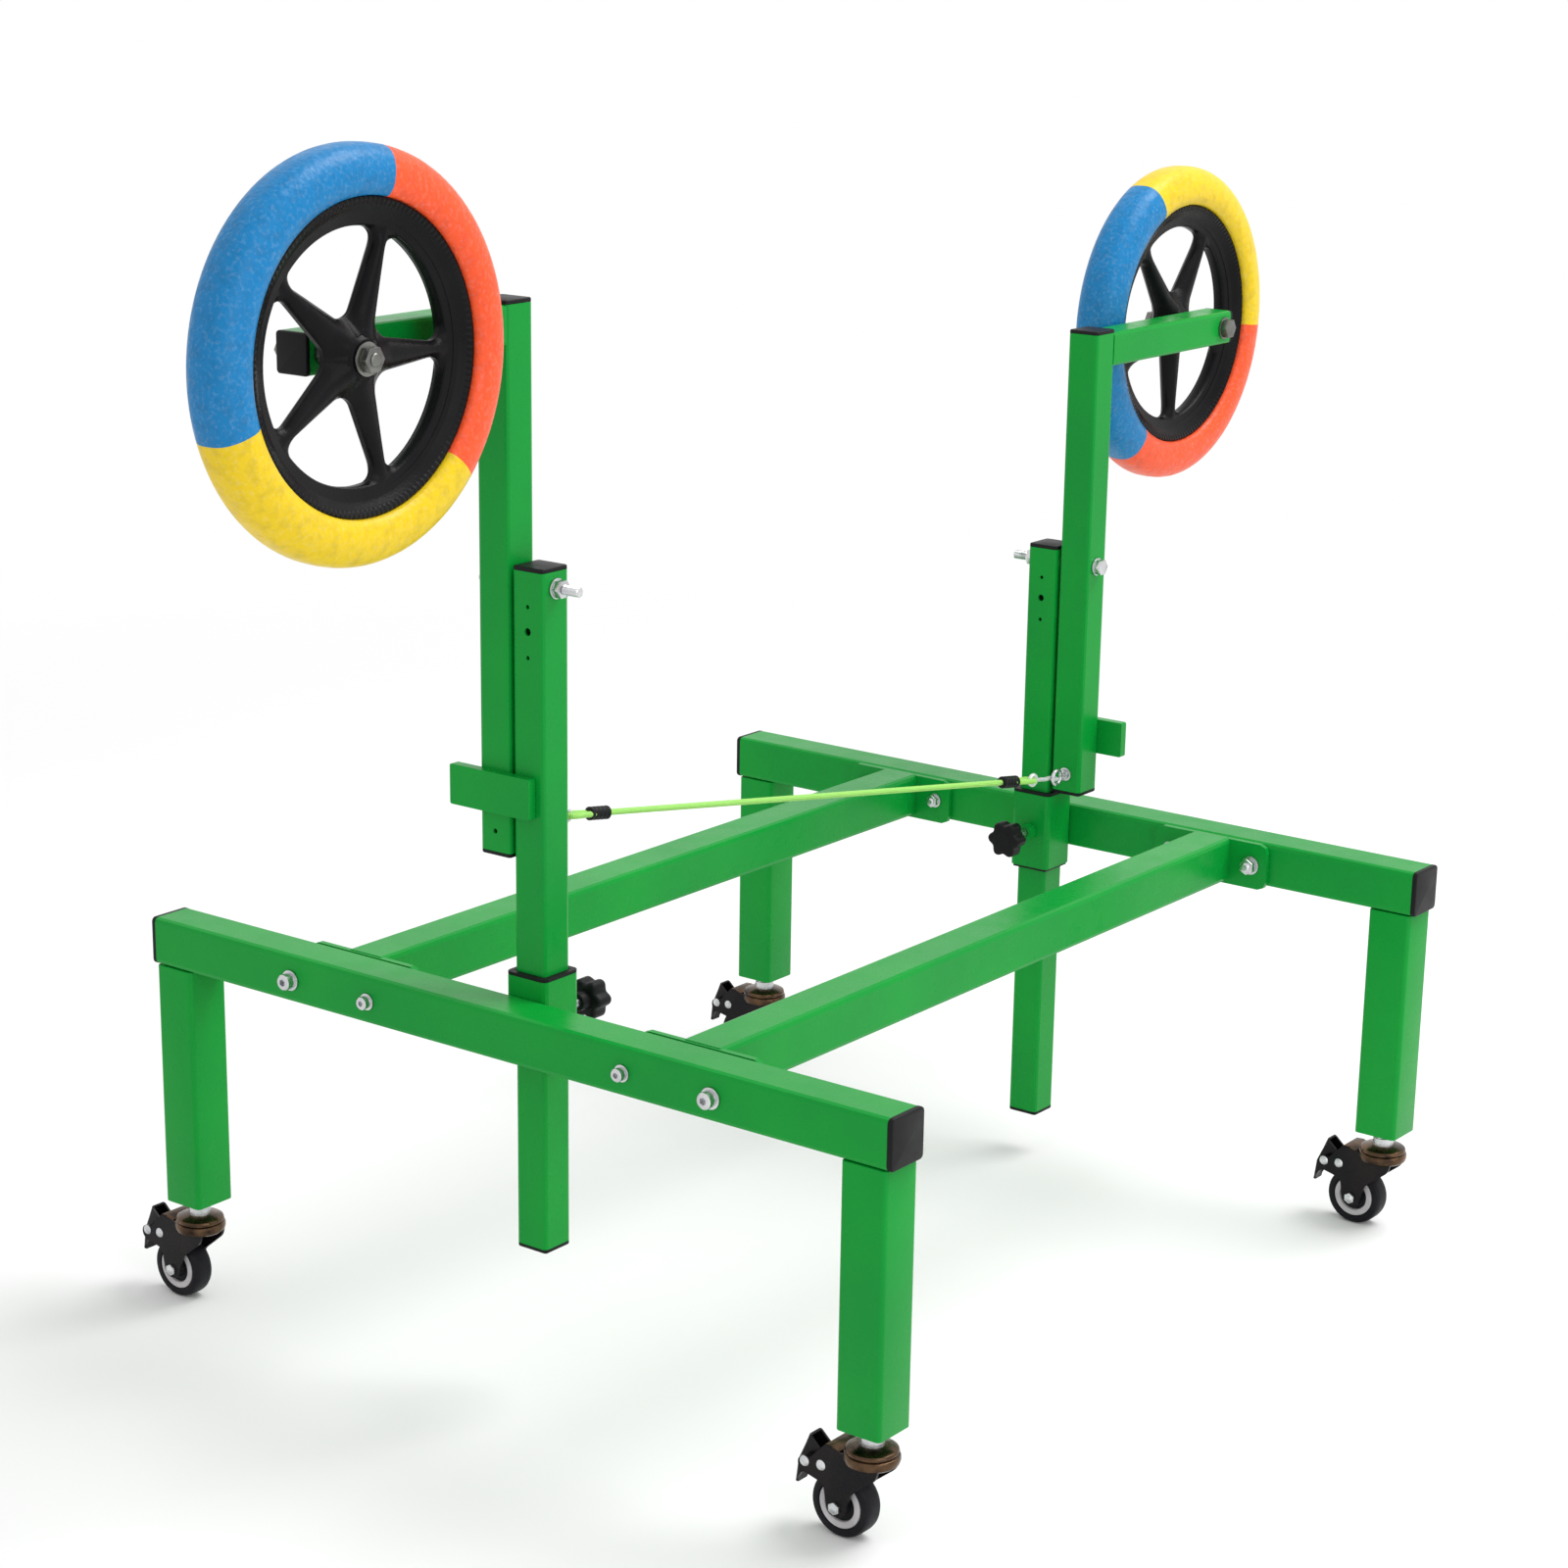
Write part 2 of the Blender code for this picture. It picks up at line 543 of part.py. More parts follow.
def build_sleeve(place, unit):
    """Welded sleeve with its clamp boss, and the plastic liner that the post slides in."""
    inner = BEAM_TUBE - 2 * TUBE_WALL
    middle = (SLEEVE_TOP + SLEEVE_BOTTOM) / 2
    face = -POST_Y + BEAM_TUBE / 2
    length = SLEEVE_TOP - SLEEVE_BOTTOM
    sleeve = square_tube("sleeve", BEAM_TUBE, BEAM_CORNER, length, "Z", (0, -POST_Y, middle))
    join(sleeve, rod("boss", BOSS_RADIUS, BOSS_LENGTH + TUBE_WALL / 2, "Y",
                     (0, face + (BOSS_LENGTH - TUBE_WALL / 2) / 2, KNOB_Z)))
    cut(sleeve, rod("stud_hole", STUD_RADIUS + RUN, BEAM_TUBE, "Y", (0, face, KNOB_Z)))
    finish(sleeve, f"{place}_sleeve", green, unit)

    outer = inner - 2 * GAP
    slot = SLIDE_TUBE + 2 * GAP
    top = SLEEVE_TOP + GAP + BUSH_FLANGE
    bottom = SLEEVE_BOTTOM - BUSH_LIP
    liner = prism("liner", [rectangle(outer, outer)], top - bottom, "Z",
                  (0, -POST_Y, (top + bottom) / 2))
    join(liner, prism("flange", [rectangle(BEAM_TUBE, BEAM_TUBE, BEAM_CORNER)], BUSH_FLANGE, "Z",
                      (0, -POST_Y, top - BUSH_FLANGE / 2)))
    cut(liner, prism("slide", [rectangle(slot, slot)], 2 * (top - bottom), "Z", (0, -POST_Y, top)),
        rod("stud_hole", STUD_RADIUS + RUN, SLIDE_TUBE, "Y", (0, face, KNOB_Z)))
    finish(liner, f"{place}_sleeve_bushing", black, unit)


def build_knob(place, unit):
    """Star knob whose stud reaches the post through boss, sleeve and liner; w runs outwards to the post."""
    face = (BEAM_TUBE - SLIDE_TUBE) / 2 - GAP
    spot = empty(f"{place}_knob_axis", unit, (0, -POST_Y + BEAM_TUBE / 2, KNOB_Z))
    knob = prism("knob", [star(KNOB_RADIUS, KNOB_LOBES, KNOB_LOBE)], KNOB_LENGTH, "Y",
                 (0, KNOB_REACH + KNOB_LENGTH / 2, 0))
    profile = [(0, face), (STUD_RADIUS, face), (STUD_RADIUS, -KNOB_REACH + KNOB_NECK),
               (BOSS_RADIUS, -KNOB_REACH + KNOB_NECK), (BOSS_RADIUS, -KNOB_REACH - KNOB_LENGTH / 2),
               (0, -KNOB_REACH - KNOB_LENGTH / 2)]
    join(knob, turned("stud", profile, ROUND, "Y"))
    finish(knob, f"{place}_clamp_knob", black, spot)


def build_post(place, slider):
    """Post with its caps and the pivot bolt; z = 0 at its top."""
    length = POST_LENGTH - 2 * (SLIDE_CAP + GAP)
    post = square_tube("post", SLIDE_TUBE, SLIDE_CORNER, length, "Z", (0, 0, -POST_LENGTH / 2))
    cut(post, rod("pivot_hole", PIVOT_RADIUS + RUN, 2 * SLIDE_TUBE, "X", (0, 0, -PIVOT_DROP)),
        rods("setting_holes", [((0, 0, -drop), radius) for drop, radius in POST_HOLES], 2 * SLIDE_TUBE, "Y"))
    finish(post, f"{place}_post", green, slider)
    end_cap(f"{place}_post_top_cap", SLIDE_TUBE, "Z", 1, (0, 0, -SLIDE_CAP), black, slider)
    end_cap(f"{place}_post_foot_cap", SLIDE_TUBE, "Z", -1, (0, 0, SLIDE_CAP - POST_LENGTH), black, slider)
    half = SLIDE_TUBE / 2
    left = ARM_X - half - GAP
    right = half + GAP
    profile = [(0, half + PIVOT_TAIL), (PIVOT_RADIUS, half + PIVOT_TAIL),
               (PIVOT_RADIUS, right + WASHER_THICK),
               (PIVOT_HEAD_RADIUS, right + WASHER_THICK), (PIVOT_HEAD_RADIUS, right), (PIVOT_RADIUS, right),
               (PIVOT_RADIUS, -half - GAP), (PIVOT_HEAD_RADIUS, -half - GAP),
               (PIVOT_HEAD_RADIUS, -half - ARM_GAP + GAP), (PIVOT_RADIUS, -half - ARM_GAP + GAP),
               (PIVOT_RADIUS, left), (PIVOT_HEAD_RADIUS, left), (PIVOT_HEAD_RADIUS, left - WASHER_THICK),
               (PIVOT_RADIUS, left - WASHER_THICK), (PIVOT_RADIUS, left - PIVOT_HEAD_HEIGHT / 2),
               (0, left - PIVOT_HEAD_HEIGHT / 2)]
    bolt = turned("bolt", profile, ROUND, "X", (0, 0, -PIVOT_DROP))
    join(bolt, rod("head", NUT_RADIUS, PIVOT_HEAD_HEIGHT, "X",
                   (left - WASHER_THICK / 2 - PIVOT_HEAD_HEIGHT / 2, 0, -PIVOT_DROP), 6),
         rod("nut", NUT_RADIUS, NUT_HEIGHT, "X",
             (right + WASHER_THICK / 2 + NUT_HEIGHT / 2, 0, -PIVOT_DROP), 6))
    finish(bolt, f"{place}_pivot_bolt", zinc, slider)


def build_arm(place, pivot):
    """Arm tube, wheel bracket and stop bar welded together; the pivot is at the origin."""
    y = -BAR_WELD - GAP
    top = ARM_ABOVE - SLIDE_CAP - GAP
    bottom = -ARM_BELOW + SLIDE_CAP + GAP
    inner = SLIDE_TUBE - 2 * TUBE_WALL
    arm = square_tube("arm", SLIDE_TUBE, SLIDE_CORNER, top - bottom, "Z", (ARM_X, y, (top + bottom) / 2))
    bracket_end = AXLE_REACH + AXLE_END - SLIDE_CAP - GAP
    reach = bracket_end - ARM_OUT + TUBE_WALL / 2
    bracket_y = -(bracket_end - reach / 2)
    bracket_z = top - SLIDE_TUBE / 2
    join(arm, square_tube("bracket", SLIDE_TUBE, SLIDE_CORNER, reach, "Y", (ARM_X, bracket_y, bracket_z)),
         prism("bar", [rectangle(BAR_WIDTH, BAR_HEIGHT, BAR_CORNER)], BAR_THICK, "Y",
               (ARM_X, -SLIDE_TUBE / 2 - GAP - BAR_THICK / 2, -BAR_DROP)))
    eye_z = -ARM_BELOW + EYE_RISE
    cut(arm, rods("cross_holes", [((ARM_X, 0, 0), PIVOT_RADIUS + RUN),
                                  ((ARM_X, -AXLE_REACH, AXLE_Z), AXLE_RADIUS + RUN)], 2 * inner, "X"),
        rod("eye_hole", EYE_WIRE + RUN, 3 * SLIDE_TUBE, "Y", (ARM_X, y, eye_z)))
    finish(arm, f"{place}_arm", green, pivot)

    end_cap(f"{place}_arm_top_cap", SLIDE_TUBE, "Z", 1, (ARM_X, y, top + GAP), black, pivot)
    end_cap(f"{place}_arm_foot_cap", SLIDE_TUBE, "Z", -1, (ARM_X, y, bottom - GAP), black, pivot)
    end_cap(f"{place}_bracket_cap", SLIDE_TUBE, "Y", 1, (ARM_X, -bracket_end - GAP, bracket_z), black, pivot)

    eye = ring_of_wire("eye", EYE_RADIUS, EYE_WIRE, "X", (ARM_X, ARM_IN + EYE_REACH, eye_z))
    back = TUBE_WALL + GAP
    shank = [(0, back + EYE_NUT_HEIGHT), (EYE_BACK_NUT, back + EYE_NUT_HEIGHT), (EYE_BACK_NUT, back),
             (EYE_WIRE, back), (EYE_WIRE, -GAP), (EYE_NUT_RADIUS, -GAP), (EYE_NUT_RADIUS, -EYE_NUT_HEIGHT),
             (EYE_WIRE, -EYE_NUT_HEIGHT), (EYE_WIRE, EYE_RADIUS - EYE_REACH), (0, EYE_RADIUS - EYE_REACH)]
    join(eye, turned("shank", shank, ROUND, "Y", (ARM_X, ARM_IN, eye_z)))
    finish(eye, f"{place}_eye_bolt", zinc, pivot)


def build_wheel(place, pivot):
    """Rim with its spokes, foam tyre, and the bolt that they spin on."""
    hub_face = WHEEL_X - HUB_HALF - GAP
    left = ARM_X - SLIDE_TUBE / 2 - GAP
    bracket_face = ARM_X + SLIDE_TUBE / 2 + GAP
    nut_face = WHEEL_X + HUB_HALF + GAP
    nut_end = nut_face + WASHER_THICK + NUT_HEIGHT
    profile = [(0, nut_end + THREAD_END / 2), (AXLE_RADIUS, nut_end + THREAD_END / 2),
               (AXLE_RADIUS, nut_face + WASHER_THICK), (AXLE_WASHER, nut_face + WASHER_THICK),
               (AXLE_WASHER, nut_face), (AXLE_RADIUS, nut_face), (AXLE_RADIUS, hub_face),
               (AXLE_SPACER, hub_face), (AXLE_SPACER, bracket_face), (AXLE_RADIUS, bracket_face),
               (AXLE_RADIUS, left), (AXLE_BACK_WASHER, left), (AXLE_BACK_WASHER, left - WASHER_THICK),
               (AXLE_RADIUS, left - WASHER_THICK),
               (AXLE_RADIUS, left - PIVOT_HEAD_HEIGHT / 2), (0, left - PIVOT_HEAD_HEIGHT / 2)]
    centre = (0, -AXLE_REACH, AXLE_Z)
    axle = turned("axle", profile, ROUND, "X", centre)
    join(axle, rod("head", AXLE_HEAD, PIVOT_HEAD_HEIGHT, "X",
                   (left - WASHER_THICK / 2 - PIVOT_HEAD_HEIGHT / 2, *centre[1:]), 6),
         rod("nut", AXLE_NUT, NUT_HEIGHT, "X",
             (nut_face + WASHER_THICK / 2 + NUT_HEIGHT / 2, *centre[1:]), 6))
    finish(axle, f"{place}_wheel_axle", zinc, pivot)

    spin = empty(f"{place}_wheel_axis", pivot, (WHEEL_X, *centre[1:]))
    spin.rotation_euler.x = -radians(SPOKE_TURN[place])
    half = [(AXLE_RADIUS + RUN, HUB_HALF), (HUB_RADIUS, HUB_HALF), (STAR_RADIUS, HUB_HALF - STAR_DROP),
            (WINDOW_RADIUS, SPOKE_THICK), (RIM_RADIUS - RIM_LIP, RIM_HALF), (RIM_RADIUS, RIM_HALF - RIM_DROP),
            (RIM_SEAT, RIM_SEAT_HALF)]
    rim = turned("rim", half + [(radius, -height) for radius, height in reversed(half)], WHEEL_ROUND, "X",
                 ring=True)
    sector = pi / SPOKES
    apex = SPOKE_HALF / sin(sector) + WINDOW_APEX_INSET + tan(radians(SPOKE_FLARE)) * SPOKE_FLARE_LENGTH
    reach = sector - SPOKE_HALF / WINDOW_RADIUS
    bend = (sector - (SPOKE_HALF + WINDOW_ARC_INSET) / WINDOW_RADIUS) * WINDOW_ARC
    arc = [(-reach, WINDOW_CORNER), (-bend, 0), (0, 0), (bend, 0), (reach, WINDOW_CORNER)]
    outline = [(0, apex, WINDOW_APEX_ROUND)]
    outline += [(sin(angle) * WINDOW_RADIUS, cos(angle) * WINDOW_RADIUS, corner) for angle, corner in arc]
    outline = filleted(outline)
    for k in range(SPOKES):
        opening = prism(f"window_{k}", [outline], 4 * RIM_HALF, "X")
        opening.data.transform(Matrix.Rotation(-(2 * k + 1) * sector, 4, "X"))
        cut(rim, opening)
    finish(rim, f"{place}_wheel_rim", black, spin)

    tread = [(RIM_SEAT + 2 * GAP, RIM_SEAT_HALF - SEAT_CLEAR),
             (RIM_RADIUS + GAP, RIM_HALF - RIM_DROP - SEAT_CLEAR),
             (RIM_RADIUS + 2 * GAP, TYRE_HALF - TYRE_EDGE), (TYRE_SIDE, TYRE_HALF),
             (TYRE_SHOULDER, TYRE_HALF - TYRE_EDGE), (TYRE_RADIUS, TYRE_CROWN)]
    tyre = turned("tyre", tread + [(radius, -height) for radius, height in reversed(tread)], WHEEL_ROUND, "X",
                  ring=True)
    finish(tyre, f"{place}_tyre", eva, spin)


def build_cord(base):
    """Elastic cord pulled straight between the two eyes, doubled back into a loop at each end."""
    ends = []
    for side, raise_by in ((-1, NEAR_RAISE), (1, 0)):
        pivot_z = POST_TOP_LOW + raise_by - PIVOT_DROP
        eye_z = pivot_z - ARM_BELOW + EYE_RISE
        ends.append(Vector((-side * ARM_X, side * (POST_Y - ARM_IN - EYE_REACH), eye_z)))
    near, far = ends
    run = far - near
    pull = EYE_RADIUS - EYE_WIRE - CORD_RADIUS - 1.5 * GAP
    half = run.length / 2 - pull
    spot = empty("cord_line", base, (near + far) / 2)
    spot.rotation_mode = "QUATERNION"
    spot.rotation_quaternion = run.to_track_quat("Y", "Z")

    def tube(name, points):
        curve = bpy.data.curves.new(name, "CURVE")
        curve.dimensions = "3D"
        curve.bevel_depth = CORD_RADIUS
        curve.bevel_resolution = 2
        curve.use_fill_caps = True
        spline = curve.splines.new("POLY")
        spline.points.add(len(points) - 1)
        for point, place in zip(spline.points, points):
            point.co = (*place, 1)
        source = bpy.data.objects.new(name, curve)
        pieces.objects.link(source)
        return settled(source, name, "Z", (0, 0, 0))
    straight = half - CORD_LOOP
    cord = tube("cord", [(0, straight * k / 4, 0) for k in range(-4, 5)])
    for side in (-1, 1):
        middle = side * (straight + FERRULE_LENGTH / 2 - FERRULE_PAST)
        join(cord, rod("ferrule", FERRULE_RADIUS, FERRULE_LENGTH, "Y", (0, middle, 0)))
        bend = half - CORD_LOOP_HALF
        loop = [(CORD_LOOP_HALF * cos(pi * k / 5), bend + CORD_LOOP_HALF * sin(pi * k / 5), 0)
                for k in range(6)]
        loop = [(CORD_RADIUS + GAP, straight + FERRULE_LENGTH / 3, 0)] + loop
        loop.append((-CORD_RADIUS - GAP, straight + FERRULE_LENGTH / 3, 0))
        join(cord, tube("loop", [(side * u, side * v, w) for u, v, w in loop]))
    finish(cord, "elastic_cord", lime, spot)


def build_unit(place, base, turn, raised):
    unit = empty(f"{place}_unit", base, turn=turn)
    build_sleeve(place, unit)
    build_knob(place, unit)
    slider = empty(f"{place}_slide", unit, (0, -POST_Y, POST_TOP_LOW + raised))
    build_post(place, slider)
    pivot = empty(f"{place}_arm_pivot", slider, (0, 0, -PIVOT_DROP))
    build_arm(place, pivot)
    build_wheel(place, pivot)


clear_scene()
pieces = new_collection("Tennis swing trainer")
cutters = new_collection("Cutters")
guides = new_collection("Axes")
green = paint(GREEN, "green powder coat")
black = paint(BLACK, "black plastic")
black_metal = paint(BLACK_METAL, "black plated steel")
zinc = paint(ZINC, "zinc plate")
rubber = paint(RUBBER, "caster tread")
eva = paint(EVA, "foam tyre")
lime = paint(LIME, "elastic cord")

base = empty("trainer", at=(CENTRE_X, 0, 0))
for place, side in (("near", -1), ("far", 1)):
    build_crossbeam(place, side, base)
    for hand, sx in (("left", -1), ("right", 1)):
        build_rail_bolt(place, side, hand, sx, base)
        foot = empty(f"{place}_{hand}_foot", base, (sx * LEG_X, side * LEG_Y, CASTER_HEIGHT))
        build_leg(f"{place}_{hand}", foot)
        build_caster(f"{place}_{hand}", foot)
for hand, sx in (("left", -1), ("right", 1)):
    build_rail(hand, sx, base)
build_unit("near", base, 0, NEAR_RAISE)
build_unit("far", base, pi, 0)
build_cord(base)
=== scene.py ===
import json
from math import cos, pi, radians, sin, tan

import bmesh
import bpy
from mathutils import Matrix, Vector


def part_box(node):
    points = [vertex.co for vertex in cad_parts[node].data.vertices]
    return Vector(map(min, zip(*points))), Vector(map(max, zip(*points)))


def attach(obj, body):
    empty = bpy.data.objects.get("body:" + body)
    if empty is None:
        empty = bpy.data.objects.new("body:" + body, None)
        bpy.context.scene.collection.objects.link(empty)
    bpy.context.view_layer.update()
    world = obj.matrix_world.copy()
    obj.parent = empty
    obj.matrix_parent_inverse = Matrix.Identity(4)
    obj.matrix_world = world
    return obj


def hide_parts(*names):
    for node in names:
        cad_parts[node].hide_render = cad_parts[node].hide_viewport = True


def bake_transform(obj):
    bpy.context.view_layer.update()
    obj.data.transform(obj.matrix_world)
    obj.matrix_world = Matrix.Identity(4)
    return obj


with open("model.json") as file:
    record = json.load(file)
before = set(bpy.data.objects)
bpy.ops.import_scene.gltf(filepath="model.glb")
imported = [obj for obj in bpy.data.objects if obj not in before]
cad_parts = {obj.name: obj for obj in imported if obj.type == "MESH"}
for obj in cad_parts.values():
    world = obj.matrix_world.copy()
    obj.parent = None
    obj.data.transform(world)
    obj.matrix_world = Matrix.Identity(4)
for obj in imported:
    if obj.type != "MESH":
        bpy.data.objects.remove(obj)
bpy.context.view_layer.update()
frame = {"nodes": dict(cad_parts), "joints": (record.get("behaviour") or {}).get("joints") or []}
joints = {j["name"]: j for j in frame["joints"]}
scene = bpy.context.scene
print("frame loaded")

# Camera at the photograph's viewing angle

cameraView = {
    "place": (1.6936, -2.2837, 1.1941),
    "yaw": 37.986,  # degrees turned left of the Y axis
    "pitch": 16.87,  # degrees down
    "roll": 0.558,
    "imagePixels": 1600,
    "focalPixels": 3534.4,
    "axisPixels": (727.1, 913.7),  # where the optical axis meets the image
}


def makeCamera(view):
    yaw, pitch, roll = (radians(view[key]) for key in ("yaw", "pitch", "roll"))
    forward = Vector((-sin(yaw) * cos(pitch), cos(yaw) * cos(pitch), -sin(pitch)))
    level = Vector((cos(yaw), sin(yaw), 0))
    upright = level.cross(forward)
    right = level * cos(roll) + upright * sin(roll)
    up = upright * cos(roll) - level * sin(roll)
    data = bpy.data.cameras.new("photoCamera")
    size = view["imagePixels"]
    data.sensor_width = 36
    data.lens = 36 * view["focalPixels"] / size
    data.shift_x = 0.5 - view["axisPixels"][0] / size
    data.shift_y = view["axisPixels"][1] / size - 0.5
    data.clip_end = 50
    camera = bpy.data.objects.new("photoCamera", data)
    turn = Matrix((right, up, -forward)).transposed()
    camera.matrix_world = Matrix.Translation(view["place"]) @ turn.to_4x4()
    scene.collection.objects.link(camera)
    scene.camera = camera


makeCamera(cameraView)

# Finishes: Principled shaders whose colour and roughness drift, with a grain in the surface


class Finish:
    def __init__(self, name, colour, roughness, metallic=0.0, gloss=0.5):
        self.material = bpy.data.materials.new(name)
        self.material.use_nodes = True
        self.material.diffuse_color = (*colour, 1)
        self.tree = self.material.node_tree
        self.shader = self.tree.nodes["Principled BSDF"]
        for key, value in (("Base Color", (*colour, 1)), ("Roughness", roughness), ("Metallic", metallic),
                           ("Specular IOR Level", gloss)):
            self.shader.inputs[key].default_value = value
        self.place = self.node("ShaderNodeTexCoord").outputs["Object"]

    def node(self, kind, **values):
        made = self.tree.nodes.new(kind)
        for key, value in values.items():
            setattr(made, key, value)
        return made

    def link(self, start, end):
        self.tree.links.new(start, end)

    def noise(self, scale, detail=3.0):
        made = self.node("ShaderNodeTexNoise")
        made.inputs["Scale"].default_value = scale
        made.inputs["Detail"].default_value = detail
        self.link(self.place, made.inputs["Vector"])
        return made.outputs["Fac"]

    def spread(self, value, low, high, start=0.3, end=0.7):
        made = self.node("ShaderNodeMapRange")
        for key, number in (("From Min", start), ("From Max", end), ("To Min", low), ("To Max", high)):
            made.inputs[key].default_value = number
        self.link(value, made.inputs["Value"])
        return made.outputs["Result"]

    def feed(self, socket, value):
        if isinstance(value, bpy.types.NodeSocket):
            self.link(value, socket)
        else:
            socket.default_value = (*value, 1) if isinstance(value, tuple) else value

    def mix(self, factor, first, second):
        made = self.node("ShaderNodeMix", data_type="RGBA")
        for k, value in ((0, factor), (6, first), (7, second)):
            self.feed(made.inputs[k], value)
        return made.outputs[2]

    def math(self, operation, first, second=0.0):
        made = self.node("ShaderNodeMath", operation=operation)
        self.feed(made.inputs[0], first)
        self.feed(made.inputs[1], second)
        return made.outputs[0]

    def grain(self, height, depth, strength=1.0):
        made = self.node("ShaderNodeBump")
        made.inputs["Distance"].default_value = depth
        made.inputs["Strength"].default_value = strength
        self.link(height, made.inputs["Height"])
        self.link(made.outputs["Normal"], self.shader.inputs["Normal"])

    def colour(self, socket):
        self.link(socket, self.shader.inputs["Base Color"])

    def rough(self, socket):
        self.link(socket, self.shader.inputs["Roughness"])


def plainFinish(name, colour, worn, roughness, metallic=0.0, drift=9.0, grain=700.0, depth=0.00005, gloss=0.5):
    made = Finish(name, colour, sum(roughness) / 2, metallic, gloss)
    made.colour(made.mix(made.spread(made.noise(drift), 0, 1), colour, worn))
    made.rough(made.spread(made.noise(drift * 6), *roughness))
    made.grain(made.noise(grain, 2.0), depth)
    return made.material


powderGreen = plainFinish("powderGreen", (0.002, 0.265, 0.034), (0.003, 0.310, 0.034), (0.24, 0.34),
                          grain=420.0, depth=0.00006, gloss=0.15)
mouldedBlack = plainFinish("mouldedBlack", (0.004, 0.004, 0.005), (0.009, 0.009, 0.010), (0.38, 0.50),
                           gloss=0.15)
brightZinc = plainFinish("brightZinc", (0.52, 0.53, 0.55), (0.68, 0.68, 0.69), (0.20, 0.36), 1.0, 60.0)
hookSteel = plainFinish("hookSteel", (0.62, 0.63, 0.65), (0.74, 0.74, 0.75), (0.34, 0.48), 0.5, 60.0)
dullZinc = plainFinish("dullZinc", (0.13, 0.13, 0.125), (0.24, 0.24, 0.22), (0.28, 0.42), 1.0, 90.0)
casterBronze = plainFinish("casterBronze", (0.018, 0.012, 0.01), (0.15, 0.085, 0.045), (0.16, 0.30), 0.9, 70.0)
casterBlack = plainFinish("casterBlack", (0.004, 0.004, 0.006), (0.012, 0.009, 0.009), (0.22, 0.34), 0.3, 40.0,
                          gloss=0.2)
# Pale metal finish for a painted highlight along the fork's edge over the brake lever
cutEdge = plainFinish("cutEdge", (0.35, 0.33, 0.32), (0.50, 0.48, 0.47), (0.25, 0.40), 0.9, 80.0)
casterRubber = plainFinish("casterRubber", (0.004, 0.004, 0.006), (0.010, 0.010, 0.013), (0.42, 0.56),
                           drift=50.0, gloss=0.15)
casterRing = plainFinish("casterRing", (0.42, 0.40, 0.42), (0.56, 0.54, 0.55), (0.30, 0.45), drift=50.0)


def aroundAxle(made, centre):
    shift = made.node("ShaderNodeMapping")
    shift.inputs["Location"].default_value = tuple(-value for value in centre)
    made.link(made.place, shift.inputs["Vector"])
    parts = made.node("ShaderNodeSeparateXYZ")
    made.link(shift.outputs["Vector"], parts.inputs[0])
    return parts, made.math("ARCTAN2", parts.outputs["Y"], parts.outputs["Z"])


foamLook = {
    "colours": {"orange": (0.93, 0.095, 0.022), "yellow": (0.80, 0.56, 0.008), "blue": (0.003, 0.190, 0.46)},
    "gloss": 0.25,
    "flecks": (
        (330.0, 4.0, 0.09, 0.50, 0.75, (0.70, 0.78, 0.85)),  # noise scale and detail, most, limits, colour
        (120.0, 3.0, 0.16, 0.45, 0.72, (0.02, 0.03, 0.05)),
    ),
    "roughness": (0.30, 0.44),
    "cells": 240.0,
    "depth": 0.0006,
}
rimLook = {
    "colours": ((0.003, 0.003, 0.004), (0.008, 0.008, 0.009)),
    "gloss": 0.1,
    "roughness": (0.24, 0.36),
    "lip": (0.1040, 0.1050),  # radii between which the teeth start
    "teeth": 150.0,
    "depth": 0.00035,
}


# Three equal sectors round the axle, each in its own foam colour
def foamFinish(name, centre, firstAngle, colours):
    made = Finish(name, colours[0], 0.5, gloss=foamLook["gloss"])
    angle = aroundAxle(made, centre)[1]
    share = made.math("SUBTRACT", angle, radians(firstAngle))
    share = made.math("FRACT", made.math("DIVIDE", share, 2 * pi))
    ramp = made.node("ShaderNodeValToRGB")
    ramp.color_ramp.interpolation = "CONSTANT"
    stops = ramp.color_ramp.elements
    stops[0].position = 0.0
    stops[1].position = 1 / 3
    stops.new(2 / 3)
    for stop, colour in zip(stops, colours):
        stop.color = (*colour, 1)
    made.link(share, ramp.inputs["Fac"])
    shade = ramp.outputs["Color"]
    for scale, detail, most, start, end, fleck in foamLook["flecks"]:
        shade = made.mix(made.spread(made.noise(scale, detail), 0.0, most, start, end), shade, fleck)
    made.colour(shade)
    made.rough(made.spread(made.noise(90.0), *foamLook["roughness"]))
    cells = made.node("ShaderNodeTexVoronoi")
    cells.inputs["Scale"].default_value = foamLook["cells"]
    made.link(made.place, cells.inputs["Vector"])
    made.grain(made.math("ADD", cells.outputs["Distance"], made.noise(60.0)), foamLook["depth"], 0.5)
    return made.material


# Black moulding with fine teeth in the lip that holds the tyre
def rimFinish(name, centre):
    made = Finish(name, rimLook["colours"][0], 0.3, gloss=rimLook["gloss"])
    parts, angle = aroundAxle(made, centre)
    y, z = parts.outputs["Y"], parts.outputs["Z"]
    radius = made.math("SQRT", made.math("ADD", made.math("MULTIPLY", y, y), made.math("MULTIPLY", z, z)))
    lip = made.spread(radius, 0.0, 1.0, *rimLook["lip"])
    teeth = made.math("MULTIPLY", made.math("SINE", made.math("MULTIPLY", angle, rimLook["teeth"])), lip)
    made.colour(made.mix(made.spread(made.noise(14.0), 0, 1), *rimLook["colours"]))
    made.rough(made.spread(made.noise(60.0), *rimLook["roughness"]))
    made.grain(made.math("ADD", teeth, made.noise(500.0)), rimLook["depth"], 0.6)
    return made.material


print("finishes made")

# Shapes


def moved(shape, matrix):
    bmesh.ops.transform(shape, matrix=matrix, verts=shape.verts)
    return shape


def at(x, y, z):
    return Matrix.Translation((x, y, z))


def lift(z):
    return at(0, 0, z)


def about(axis, angle):
    return Matrix.Rotation(angle, 4, axis)


